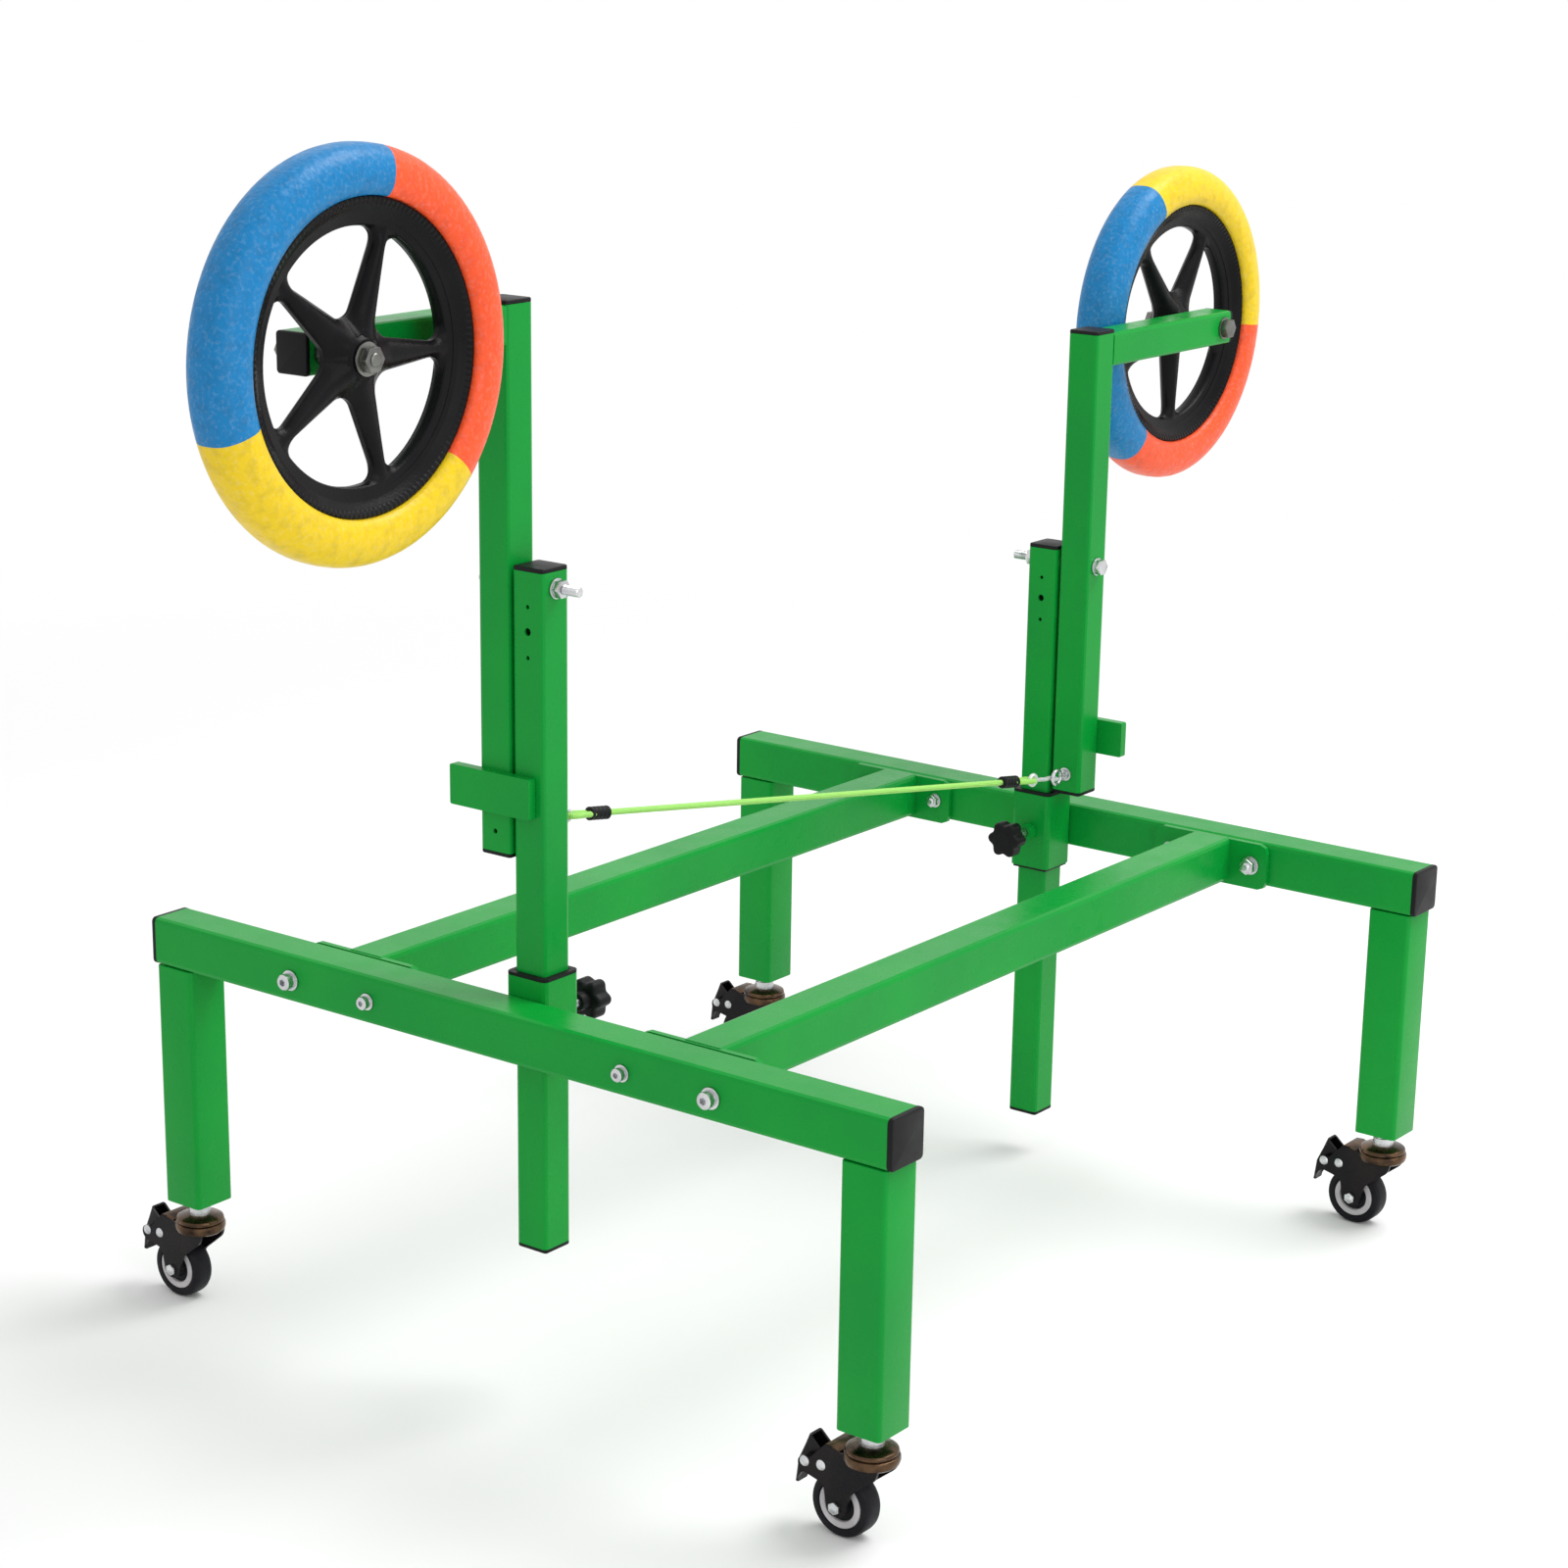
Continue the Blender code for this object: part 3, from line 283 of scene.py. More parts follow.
def together(*shapes):
    whole = shapes[0]
    for part in shapes[1:]:
        mesh = bpy.data.meshes.new("part")
        part.to_mesh(mesh)
        part.free()
        whole.from_mesh(mesh)
        bpy.data.meshes.remove(mesh)
    return whole


def bevelled(shape, edges, width, steps=2):
    bmesh.ops.bevel(shape, geom=edges, offset=width, segments=steps, profile=0.5, affect="EDGES", material=-1,
                    clamp_overlap=True)
    return shape


def softened(shape, width, steps=2, angle=35):
    sharp = [edge for edge in shape.edges if edge.is_manifold and edge.calc_face_angle() > radians(angle)]
    return bevelled(shape, sharp, width, steps)


def facedOut(shape):
    bmesh.ops.recalc_face_normals(shape, faces=shape.faces)
    return shape


def box(size, corner, along, rim):
    shape = bmesh.new()
    bmesh.ops.create_cube(shape, size=1)
    bmesh.ops.scale(shape, vec=size, verts=shape.verts)
    k = "xyz".index(along)
    bevelled(shape, [e for e in shape.edges if abs(e.verts[0].co[k] - e.verts[1].co[k]) > 1e-6], corner, 6)
    if rim:
        bevelled(shape, [e for e in shape.edges if abs(e.verts[0].co[k] - e.verts[1].co[k]) < 1e-6], rim)
    return shape


def turned(profile, steps, closed=False):
    shape = bmesh.new()
    verts = [shape.verts.new((radius, 0, height)) for radius, height in profile]
    pairs = list(zip(verts, verts[1:])) + ([(verts[-1], verts[0])] if closed else [])
    edges = [shape.edges.new(pair) for pair in pairs]
    bmesh.ops.spin(shape, geom=verts + edges, cent=(0, 0, 0), axis=(0, 0, 1), dvec=(0, 0, 0), angle=2 * pi,
                   steps=steps, use_merge=True, use_duplicate=False)
    bmesh.ops.remove_doubles(shape, verts=shape.verts, dist=1e-6)
    return facedOut(shape)


def plate(outline, thick):
    shape = bmesh.new()
    face = shape.faces.new([shape.verts.new((u, v, -thick / 2)) for u, v in outline])
    made = bmesh.ops.extrude_face_region(shape, geom=[face])["geom"]
    bmesh.ops.translate(shape, vec=(0, 0, thick), verts=[v for v in made if isinstance(v, bmesh.types.BMVert)])
    return facedOut(shape)


def closedLoop(shape, verts):
    return [shape.edges.new(pair) for pair in zip(verts, verts[1:] + verts[:1])]


def bridged(shape, loops):
    for first, second in zip(loops, loops[1:]):
        bmesh.ops.bridge_loops(shape, edges=first + second)


def roundedOutline(corners, steps):
    points = []
    for i, (u, v, radius) in enumerate(corners):
        corner = Vector((u, v))
        if radius <= 0:
            points.append(corner)
            continue
        back = (Vector(corners[i - 1][:2]) - corner).normalized()
        ahead = (Vector(corners[(i + 1) % len(corners)][:2]) - corner).normalized()
        half = back.angle(ahead) / 2
        centre = corner + (back + ahead).normalized() * radius / sin(half)
        start = corner + back * radius / tan(half) - centre
        turn = start.angle_signed(corner + ahead * radius / tan(half) - centre)
        for k in range(steps + 1):
            angle = -turn * k / steps
            points.append(centre + Vector((start.x * cos(angle) - start.y * sin(angle),
                                           start.x * sin(angle) + start.y * cos(angle))))
    return points


def prism(radius, height):
    shape = bmesh.new()
    bmesh.ops.create_cone(shape, cap_ends=True, segments=6, radius1=radius, radius2=radius, depth=height)
    return shape


def hexagon(radius, height):
    return softened(prism(radius, height), 0.0005)


def meshObject(name, shape, *finishes):
    mesh = bpy.data.meshes.new(name)
    shape.to_mesh(mesh)
    shape.free()
    for finish in finishes:
        mesh.materials.append(finish)
    made = bpy.data.objects.new(name, mesh)
    scene.collection.objects.link(made)
    return made


def addPiece(name, shape, finish, body, nodes=(), place=None, angle=32, others=()):
    if place is not None:
        moved(shape, place)
    piece = meshObject(name, shape, finish, *others)
    piece.data.shade_smooth()
    piece.data.set_sharp_from_angle(angle=radians(angle))
    if body:
        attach(piece, body)
    if nodes:
        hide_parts(*nodes)
    return piece


def rod(radius, low, high, steps):
    return turned([(0, low), (radius, low), (radius, high), (0, high)], steps)


def wireRing(radius, wire, sides, steps):
    profile = [(radius + wire * cos(2 * pi * k / sides), wire * sin(2 * pi * k / sides)) for k in range(sides)]
    return turned(profile, steps, closed=True)


def mirrored(profile, between=()):
    return [*profile, *between, *((radius, -height) for radius, height in reversed(profile))]


def middle(node):
    low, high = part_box(node)
    return (low + high) / 2


alongX = about("Y", pi / 2)  # turns a shape's Z axis to +X
alongY = about("X", -pi / 2)  # and to +Y
units = {"near": -1, "far": 1}  # each unit's side of the machine
hands = ("left", "right")
originX = (middle("left_rail").x + middle("right_rail").x) / 2
unitPlace = {"near": at(originX, 0, 0), "far": at(originX, 0, 0) @ about("Z", pi)}


# Where a joint's pivot is, turned the way its unit faces
def unitAt(unit, joint):
    place = unitPlace[unit]
    return place @ at(*(place.inverted() @ Vector(joints[joint]["pos_m"])))


# Elastic cord, hooked to an eye at the foot of each arm

cordLine = {
    "near": (-0.033, -0.3198, 0.4685),  # where the hooks pull, from the machine's middle
    "far": (0.033, 0.3198, 0.3805),
    "diameter": 0.005,
    "loopEnd": 0.0301,  # distances from the eye bolt's wire
    "ferruleStart": 0.0535,
    "runStart": 0.0715,
    "loopHalf": 0.0048,
    "loopInside": 0.005,  # how far the loop's strands reach into the ferrule
    "strandGap": 0.0002,
    "shares": (0.0, 0.12, 0.5, 0.88, 1.0),  # where the straight run is split into its pieces
    "pointStep": 0.006,
    "sides": 12,
    "weavePitch": 0.0028,
    "weaveTurns": 6,
}
cordHook = {
    "wire": 0.0019,
    "bend": 0.0034,
    "length": 0.0295,
    "eye": 0.0045,
    "tip": ((0.0012, 0.0056), (0.0002, 0.0035)),  # beyond the bend, distance from the eye bolt's wire
    "neck": ((1.0, 0.0022), (0.85, 0.0042), (0.5, 0.0062), (0.15, 0.0080), (0.0, 0.0100)),
}
cordFerrule = {
    "radius": 0.0055,
    "length": 0.022,
    "edge": 0.0012,
    "grooves": 4,
    "firstGroove": 0.0045,
    "groovePitch": 0.0043,
    "grooveHalf": 0.0011,
    "grooveDepth": 0.0005,
}


def sheathFinish():
    made = Finish("cordSheath", (0.36, 0.76, 0.14), 0.6)
    weave = made.node("ShaderNodeUVMap", uv_map="alongCord").outputs["UV"]
    parts = made.node("ShaderNodeSeparateXYZ")
    made.link(weave, parts.inputs[0])
    around = made.math("MULTIPLY", parts.outputs["X"], 2 * pi * cordLine["weaveTurns"])
    along = made.math("MULTIPLY", parts.outputs["Y"], 2 * pi / cordLine["weavePitch"])
    crossing = made.math("MULTIPLY", made.math("SINE", made.math("ADD", around, along)),
                         made.math("SINE", made.math("SUBTRACT", around, along)))
    # Two lime tones that follow the weave's bump: lighter on the raised strands, darker in the hollows, a
    # painted shade
    fleck = made.spread(crossing, 0.0, 1.0, -1.0, 1.0)
    made.colour(made.mix(fleck, (0.24, 0.60, 0.07), (0.46, 0.88, 0.22)))
    made.grain(crossing, 0.0003, 0.8)
    return made.material


cordSheath = sheathFinish()


def tube(points, radius, sides):
    shape = bmesh.new()
    loops = []
    side = None
    for i, point in enumerate(points):
        ahead = (points[min(i + 1, len(points) - 1)] - points[max(i - 1, 0)]).normalized()
        if side is None:
            side = ahead.orthogonal().normalized()
        side = (side - ahead * side.dot(ahead)).normalized()
        up = ahead.cross(side)
        angles = [2 * pi * k / sides for k in range(sides)]
        ring = [shape.verts.new(point + (side * cos(angle) + up * sin(angle)) * radius) for angle in angles]
        loops.append(closedLoop(shape, ring))
    bridged(shape, loops)
    bmesh.ops.holes_fill(shape, edges=loops[0] + loops[-1], sides=0)
    return facedOut(shape)


# A UV map that runs once round the cord and in metres along it
def unwrapAlong(shape, points):
    layer = shape.loops.layers.uv.new("alongCord")
    runs = []
    done = 0.0
    for start, end in zip(points, points[1:]):
        runs.append((start, end, done))
        done += (end - start).length
    for face in shape.faces:
        centre = face.calc_center_median()
        start, end, done = min(runs, key=lambda run: (centre - (run[0] + run[1]) / 2).length)
        ahead = (end - start).normalized()
        side = ahead.orthogonal().normalized()
        up = ahead.cross(side)
        out = Vector(((centre - start).dot(up), (centre - start).dot(side)))
        if out.length < 1e-9:
            continue
        turn = out.angle_signed(Vector((0, 1)))
        for corner in face.loops:
            offset = corner.vert.co - start
            here = Vector((offset.dot(up), offset.dot(side)))
            corner[layer].uv = ((turn + here.angle_signed(out, 0)) / (2 * pi), done + offset.dot(ahead))
    return shape


def cordPiece(name, points, body):
    shape = unwrapAlong(tube(points, cordLine["diameter"] / 2, cordLine["sides"]), points)
    return addPiece(name, shape, cordSheath, body, angle=80)


def loopLine(ring, outward, side):
    c = cordLine
    half = c["loopHalf"]
    close = c["diameter"] / 2 + c["strandGap"]
    turnAt = c["loopEnd"] + half
    angles = [pi * k / 14 for k in range(15)]
    bend = [ring - outward * (turnAt - half * sin(angle)) + side * half * cos(angle) for angle in angles]
    inside = c["ferruleStart"] + c["loopInside"]
    legs = []
    for k in range(12):
        away = inside + (turnAt - inside) * k / 12
        share = min(1, max(0, (c["ferruleStart"] - away) / (c["ferruleStart"] - turnAt)))
        legs.append((away, close + (half - close) * (3 * share ** 2 - 2 * share ** 3)))
    return ([ring - outward * away + side * width for away, width in legs] + bend +
            [ring - outward * away - side * width for away, width in reversed(legs)])


# Wire hook: tip, bend round the eye bolt, and a closed eye that holds the cord's loop
def hookShape(ring, outward, side):
    h = cordHook
    line = [(h["bend"] + beyond, away) for beyond, away in h["tip"]]
    line += [(h["bend"] * cos(pi * k / 12), -h["bend"] * sin(pi * k / 12)) for k in range(13)]
    line += [(-h["bend"] * share, away) for share, away in h["neck"]] + [(0, h["length"] - h["eye"])]
    shape = tube([ring + side * across - outward * away for across, away in line], h["wire"], 10)
    turn = side.to_track_quat("Z", "Y").to_matrix().to_4x4()
    place = at(*(ring - outward * h["length"])) @ turn
    return together(shape, moved(wireRing(h["eye"], h["wire"], 10, 28), place))


def ferruleShape():
    f = cordFerrule
    radius, half, edge = f["radius"], f["length"] / 2, f["edge"]
    profile = [(0, half), (radius - edge, half), (radius, half - edge)]
    for k in range(f["grooves"]):
        height = half - f["firstGroove"] - k * f["groovePitch"]
        profile += [(radius, height + f["grooveHalf"]), (radius - f["grooveDepth"], height),
                    (radius, height - f["grooveHalf"])]
    return turned(profile + [(radius, edge - half), (radius - edge, -half), (0, -half)], 28)


def makeCord():
    c = cordLine
    near, far = (Vector(c[unit]) + Vector((originX, 0, 0)) for unit in units)
    way = (far - near).normalized()
    start, end = near + way * c["runStart"], far - way * c["runStart"]
    for i in range(4):
        first, last = start.lerp(end, c["shares"][i]), start.lerp(end, c["shares"][i + 1])
        count = max(2, round((last - first).length / c["pointStep"]))
        points = [first.lerp(last, k / count) for k in range(count + 1)]
        piece = cordPiece(f"elasticRun{i + 1}", points, None)
        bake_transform(piece)
    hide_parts("elastic_cord")
    across = way.cross(Vector((0, 0, 1))).normalized()
    for unit, ring, outward, side in (("near", near, -way, -across), ("far", far, way, across)):
        body = f"{unit}_arm"
        loop = cordPiece(f"{unit}CordLoop", loopLine(ring, outward, side), body)
        hook = addPiece(f"{unit}CordHook", hookShape(ring, outward, side), hookSteel, body)
        middleAt = ring - outward * (c["ferruleStart"] + cordFerrule["length"] / 2)
        place = at(*middleAt) @ outward.to_track_quat("Z", "Y").to_matrix().to_4x4()
        ferrule = addPiece(f"{unit}CordFerrule", ferruleShape(), mouldedBlack, body,
                           place=place)


makeCord()
print("cord made")

# Tyres and rims, in profiles of radius and half width

tyre = {
    "radius": 0.145,
    "half": 0.0215,
    "side": ((0.0955, 0.0070), (0.1103, 0.0122), (0.1103, 0.0158), (0.1115, 0.0178), (0.1155, 0.0203),
             (0.1200, 0.0215)),
    "crownStart": 0.1215,
    "crownSteps": 10,
    "crownPowers": (0.92, 0.72),  # how square the crown is, outwards and sideways
    "steps": 128,
}
rim = {
    "face": ((0.1100, 0.0128), (0.1094, 0.0146), (0.1078, 0.0150), (0.1056, 0.0140), (0.1015, 0.0108),
             (0.0970, 0.0082), (0.0930, 0.0068), (0.0905, 0.0060), (0.0897, 0.0050)),
    "seat": (0.0950, 0.0080),
    "hub": ((0.0054, 0.0140), (0.0135, 0.0140), (0.0150, 0.0128), (0.0165, 0.0112), (0.0185, 0.0100),
            (0.0190, 0.0050)),
    "hubHalf": 0.0140,
    "spokes": 5,
    "spokeTurn": {"near": 19.6, "far": -38.5},  # degrees clockwise from up
    "steps": 128,
}
window = {
    "radius": 0.089,
    "apex": 0.0225,  # where its sides would meet
    "apexRound": 0.014,
    "corner": 0.010,
    "spokeHalf": 0.0042,
    "inner": 0.0075,  # the spoked centre runs from inside the hub to inside the rim
    "outer": 0.0925,
    "arcShort": 0.17,  # angles from the spoke's side to where the outer arcs start
    "outerShort": 0.08,
    "counts": (14, 12, 14, 14),
    "ridge": ((0.0150, 0.0138), (0.0210, 0.0112), (0.0300, 0.0092), (0.0890, 0.0066), (0.0925, 0.0064)),
    "edge": 0.0020,  # height of a spoke's flank
    "flank": 2.4,  # how square a spoke's section is
    "shares": (0.0, 0.30, 0.52, 0.74, 0.88, 0.96, 1.0),  # from the spoke's middle to its edge
}
foamOrder = {  # angle where the first colour starts, and the colours in turn
    "near": (11.5, ("orange", "yellow", "blue")),
    "far": (-25.3, ("yellow", "orange", "blue")),
}


def tyreProfile():
    side = list(tyre["side"])
    start, (outPower, sidePower) = tyre["crownStart"], tyre["crownPowers"]
    for k in range(1, tyre["crownSteps"]):
        angle = pi / 2 * k / tyre["crownSteps"]
        side.append((start + (tyre["radius"] - start) * sin(angle) ** outPower,
                     tyre["half"] * cos(angle) ** sidePower))
    return mirrored(side, [(tyre["radius"], 0)])


def spaced(points, count):
    lengths = [0.0]
    for first, last in zip(points, points[1:]):
        lengths.append(lengths[-1] + (last - first).length)
    found = []
    k = 0
    for i in range(count):
        target = lengths[-1] * i / count
        while lengths[k + 1] < target:
            k += 1
        found.append(points[k].lerp(points[k + 1], (target - lengths[k]) / (lengths[k + 1] - lengths[k])))
    return found


def polar(radius, angle):
    return Vector((radius * sin(angle), radius * cos(angle)))


# Half of a window's edge, and of its sector's border, from the hub outwards
def halfWindow():
    w = window
    sector = pi / rim["spokes"]
    reach = sector - w["spokeHalf"] / w["radius"]
    low, corner = Vector((0, w["apex"])), polar(w["radius"], reach)
    arcStart, outerStart = reach - w["arcShort"], reach - w["outerShort"]
    run = (corner - low).normalized()
    beside = w["apex"] + run.y
    apex = roundedOutline([(-run.x, beside, 0), (*low, w["apexRound"]), (run.x, beside, 0)], 24)
    apex = [point for point in apex[1:-1] if point.x >= 0]
    if apex[0].x > 1e-6:
        apex.insert(0, Vector((0, apex[0].y)))
    bend = roundedOutline([(*low, 0), (*corner, w["corner"]), (*polar(w["radius"], arcStart), 0)], 12)[1:-1]
    arc = [polar(w["radius"], arcStart * (1 - k / 16)) for k in range(17)]
    lowEnd, highStart = apex[-1].length, bend[0].length
    border = [
        [polar(w["inner"], sector * k / 8) for k in range(9)] + [polar(lowEnd, sector)],
        [polar(lowEnd, sector), polar(highStart, sector)],
        [polar(highStart, sector), polar(w["outer"], sector), polar(w["outer"], outerStart)],
        [polar(w["outer"], outerStart * (1 - k / 16)) for k in range(17)],
    ]
    edge = [apex, [apex[-1], bend[0]], bend, [bend[-1]] + arc]
    return [[point for part, count in zip(parts, w["counts"]) for point in spaced(part, count)] +
            [parts[-1][-1]] for parts in (border, edge)]


def ridgeHeight(radius):
    steps = window["ridge"]
    if radius <= steps[0][0]:
        return steps[0][1]
    for (start, high), (end, low) in zip(steps, steps[1:]):
        if radius <= end:
            return high + (low - high) * (radius - start) / (end - start)
    return steps[-1][1]


def spokedCentre(turn):
    border, edge = halfWindow()
    low = window["edge"]
    shape = bmesh.new()
    for k in range(rim["spokes"]):
        loops = []
        for share in window["shares"]:
            half = [outer.lerp(inner, share) for outer, inner in zip(border, edge)]
            whole = half + [Vector((-point.x, point.y)) for point in reversed(half[1:-1])]
            rise = 1 - share ** window["flank"]
            heights = [low + (ridgeHeight(point.length) - low) * rise for point in whole]
            verts = [shape.verts.new((*point, height)) for point, height in zip(whole, heights)]
            sector = Matrix.Rotation((2 * k + 1) * pi / rim["spokes"], 3, "Z")
            bmesh.ops.rotate(shape, verts=verts, matrix=sector)
            loops.append(closedLoop(shape, verts))
        bridged(shape, loops)
    bmesh.ops.remove_doubles(shape, verts=shape.verts, dist=1e-5)
    walls = bmesh.ops.extrude_edge_only(shape, edges=[e for e in shape.edges if e.is_boundary])["geom"]
    for vert in walls:
        if isinstance(vert, bmesh.types.BMVert):
            vert.co.z = 0
    bmesh.ops.mirror(shape, geom=shape.verts[:] + shape.edges[:] + shape.faces[:], axis="Z", merge_dist=1e-6)
    bmesh.ops.remove_doubles(shape, verts=shape.verts, dist=1e-6)
    return moved(facedOut(shape), about("Z", turn))


def rimShape(turn):
    seat = [(rim["seat"][0], -rim["seat"][1]), rim["seat"]]
    barrel = turned(mirrored(rim["face"]) + seat, rim["steps"], closed=True)
    core = turned(mirrored(rim["hub"]), 64, closed=True)
    return together(barrel, core, spokedCentre(pi / 2 - radians(turn)))


def makeWheels():
    for unit in units:
        body = f"{unit}_wheel"
        centre = Vector(joints[f"{unit}_wheel_spin"]["pos_m"])
        place = at(*centre) @ alongX
        first, order = foamOrder[unit]
        foam = foamFinish(f"{unit}Foam", centre, first, [foamLook["colours"][colour] for colour in order])
        addPiece(f"{unit}FoamTyre", turned(tyreProfile(), tyre["steps"], closed=True), foam, body,
                 [f"{unit}_tyre"], place)
        plastic = rimFinish(f"{unit}RimPlastic", centre)
        addPiece(f"{unit}SpokedRim", rimShape(rim["spokeTurn"][unit]), plastic, body,
                 [f"{unit}_wheel_rim"], place, angle=28)


makeWheels()
print("wheels made")

# Bolts, axles and eyes

fits = {
    "gap": 0.0003,  # between pieces that touch
    "slideTube": 0.030,
    "armGap": 0.003,  # spacer between arm and post
}
boltSizes = {
    "shank": 0.004,
    "headRadius": 0.0065,
    "headHeight": 0.008,
    "headEdge": 0.0009,
    "socket": 0.0031,
    "socketDepth": 0.0042,
    "socketRise": 0.0001,
    "washer": 0.0085,
    "washerThick": 0.0016,
    "nut": 0.0075,
    "nutHeight": 0.0068,
    "tail": 0.003,
    "threadPitch": 0.00125,
    "threadDepth": 0.0006,
    "threadTip": 0.0012,
    "flangeGrip": 0.0056,  # what a rail's bolt holds beyond the crossbeam
    "innerScale": 0.8,
}


def socketHead():
    b = boltSizes
    radius, height, edge = b["headRadius"], b["headHeight"], b["headEdge"]
    shape = turned([(0, 0), (radius, 0), (radius, height - edge), (radius - edge, height), (0, height)], 32)
    middleFaces = [f for f in shape.faces if f.calc_center_median().z > height - 0.00001 and
                   f.calc_center_median().to_2d().length < radius * 0.7]
    bmesh.ops.delete(shape, geom=middleFaces, context="FACES")
    depth = b["socketDepth"]
    cup = moved(prism(b["socket"], depth), lift(height - depth / 2 + b["socketRise"]))
    bmesh.ops.delete(cup, geom=[f for f in cup.faces if f.normal.z > 0.9], context="FACES")
    bmesh.ops.reverse_faces(cup, faces=cup.faces)
    whole = together(shape, cup)
    bmesh.ops.bridge_loops(whole, edges=[e for e in whole.edges if e.is_boundary])
    return whole


def washer(radius, hole, thick):
    shape = turned([(hole, 0), (radius, 0), (radius, thick), (hole, thick)], 36, closed=True)
    return softened(shape, 0.0003)


def threadedEnd(radius, length):
    pitch = boltSizes["threadPitch"]
    root = radius - boltSizes["threadDepth"]
    profile = [(0, 0)]
    count = max(1, int(length / pitch))
    for k in range(count):
        profile += [(root, k * pitch), (radius, (k + 0.5) * pitch)]
    profile += [(root, count * pitch), (radius - boltSizes["threadTip"], length), (0, length)]
    return turned(profile, 24)


# Washer, nut and the end of a bolt, upwards from 0
def nutEnd(shank, washerRadius, nut, tail):
    thick, height = boltSizes["washerThick"], boltSizes["nutHeight"]
    return together(washer(washerRadius, shank, thick), moved(hexagon(nut, height), lift(thick + height / 2)),
                    moved(threadedEnd(shank, tail), lift(thick + height)))


# Head above 0 along Z, nut below -grip
def railBolt(grip):
    b = boltSizes
    shank, thick = b["shank"], b["washerThick"]
    back = lift(-grip) @ about("X", pi)
    return together(washer(b["washer"], shank, thick), moved(socketHead(), lift(thick)),
                    rod(shank, -grip, 0, 20), moved(nutEnd(shank, b["washer"], b["nut"], b["tail"]), back))


def makeFrameBolts():
    scale = boltSizes["innerScale"]
    for unit, side in units.items():
        outward = about("X", -side * pi / 2)
        end = 0 if side < 0 else 1
        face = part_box(f"{unit}_crossbeam")[end].y
        for hand in hands:
            node = f"{unit}_{hand}_rail_bolt"
            label = f"{unit}{hand.title()}"
            grip = abs(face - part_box(f"{hand}_rail")[end].y) + boltSizes["flangeGrip"]
            spot = middle(node)
            y = face + side * fits["gap"]
            addPiece(f"{label}RailBolt", railBolt(grip), brightZinc, "frame", [node],
                     at(spot.x, y, spot.z) @ outward)
            inner = 2 * middle(f"{hand}_rail").x - spot.x
            smaller = moved(railBolt(grip / scale), Matrix.Scale(scale, 4))
            addPiece(f"{label}InnerBolt", smaller, brightZinc, "frame",
                     place=at(inner, y, spot.z) @ outward)


makeFrameBolts()

pivotBolt = {"headHeight": 0.006, "tail": 0.024, "washer": 0.008}


def makePivots():
    p, b = pivotBolt, boltSizes
    half, gap, armGap = fits["slideTube"] / 2, fits["gap"], fits["armGap"]
    armLeft = -3 * half - armGap - gap
    postRight = half + gap
    thick, shank = b["washerThick"], b["shank"]
    tail = half + p["tail"] - postRight - thick - b["nutHeight"]
    for unit in units:
        bolt = together(moved(washer(p["washer"], shank, thick), lift(armLeft - thick)),
                        moved(hexagon(b["nut"], p["headHeight"]), lift(armLeft - thick - p["headHeight"] / 2)),
                        rod(shank, armLeft, postRight, 20),
                        moved(washer(p["washer"], shank, armGap - 2 * gap), lift(gap - half - armGap)),
                        moved(nutEnd(shank, p["washer"], b["nut"], tail), lift(postRight)))
        addPiece(f"{unit}PivotBolt", bolt, brightZinc, f"{unit}_post", [f"{unit}_pivot_bolt"],
                 unitAt(unit, f"{unit}_arm_swing") @ alongX)


makePivots()

wheelAxle = {"radius": 0.005, "washer": 0.012, "nut": 0.0098, "spacer": 0.008, "tail": 0.0015,
             "head": 0.0092, "headHeight": 0.006, "headWasher": 0.010,
             "offset": 0.028}  # wheel's middle plane from the bracket


def makeAxles():
    a, thick = wheelAxle, boltSizes["washerThick"]
    hubFace = rim["hubHalf"] + fits["gap"]
    bracketFace = fits["gap"] - a["offset"]
    armFace = -a["offset"] - fits["slideTube"] - fits["gap"]
    for unit in units:
        spacer = turned([(a["radius"], bracketFace), (a["spacer"], bracketFace), (a["spacer"], -hubFace),
                         (a["radius"], -hubFace)], 32, closed=True)
        axle = together(moved(nutEnd(a["radius"], a["washer"], a["nut"], a["tail"]), lift(hubFace)),
                        rod(a["radius"], armFace, hubFace, 24), spacer,
                        moved(washer(a["headWasher"], a["radius"], thick), lift(armFace - thick)),
                        moved(hexagon(a["head"], a["headHeight"]), lift(armFace - thick - a["headHeight"] / 2)))
        addPiece(f"{unit}WheelAxle", axle, dullZinc, f"{unit}_arm", [f"{unit}_wheel_axle"],
                 unitAt(unit, f"{unit}_wheel_spin") @ alongX)


makeAxles()

eyeBolt = {
    "radius": 0.0065,
    "wire": 0.00175,
    "reach": 0.0147,  # ring's centre to the arm's face
    "shankEnd": 0.0059,  # where the shank meets the ring, from its centre
    "nut": (0.0048, 0.0034),  # radius, height
    "nutMiddle": 0.0024,
    "washer": (0.0062, 0.0010),
}


def makeEyes():
    e = eyeBolt
    for unit in units:
        ringX, ringY, ringZ = cordLine[unit]
        eye = at(-abs(ringX), -abs(ringY) - e["radius"], ringZ)
        ring = moved(wireRing(e["radius"], e["wire"], 12, 32), eye @ alongX)
        shank = moved(rod(e["wire"], -e["reach"], -e["shankEnd"], 16), eye @ alongY)
        nut = moved(hexagon(*e["nut"]), eye @ at(0, e["nutMiddle"] - e["reach"], 0) @ alongY)
        washerRadius, thick = e["washer"]
        disc = moved(washer(washerRadius, e["wire"], thick), eye @ at(0, fits["gap"] - e["reach"], 0) @ alongY)
        addPiece(f"{unit}EyeBolt", together(ring, shank, nut, disc), brightZinc, f"{unit}_arm",
                 [f"{unit}_eye_bolt"], unitPlace[unit])


makeEyes()
print("bolts made")

# Tubes and sleeves keep their CAD shapes

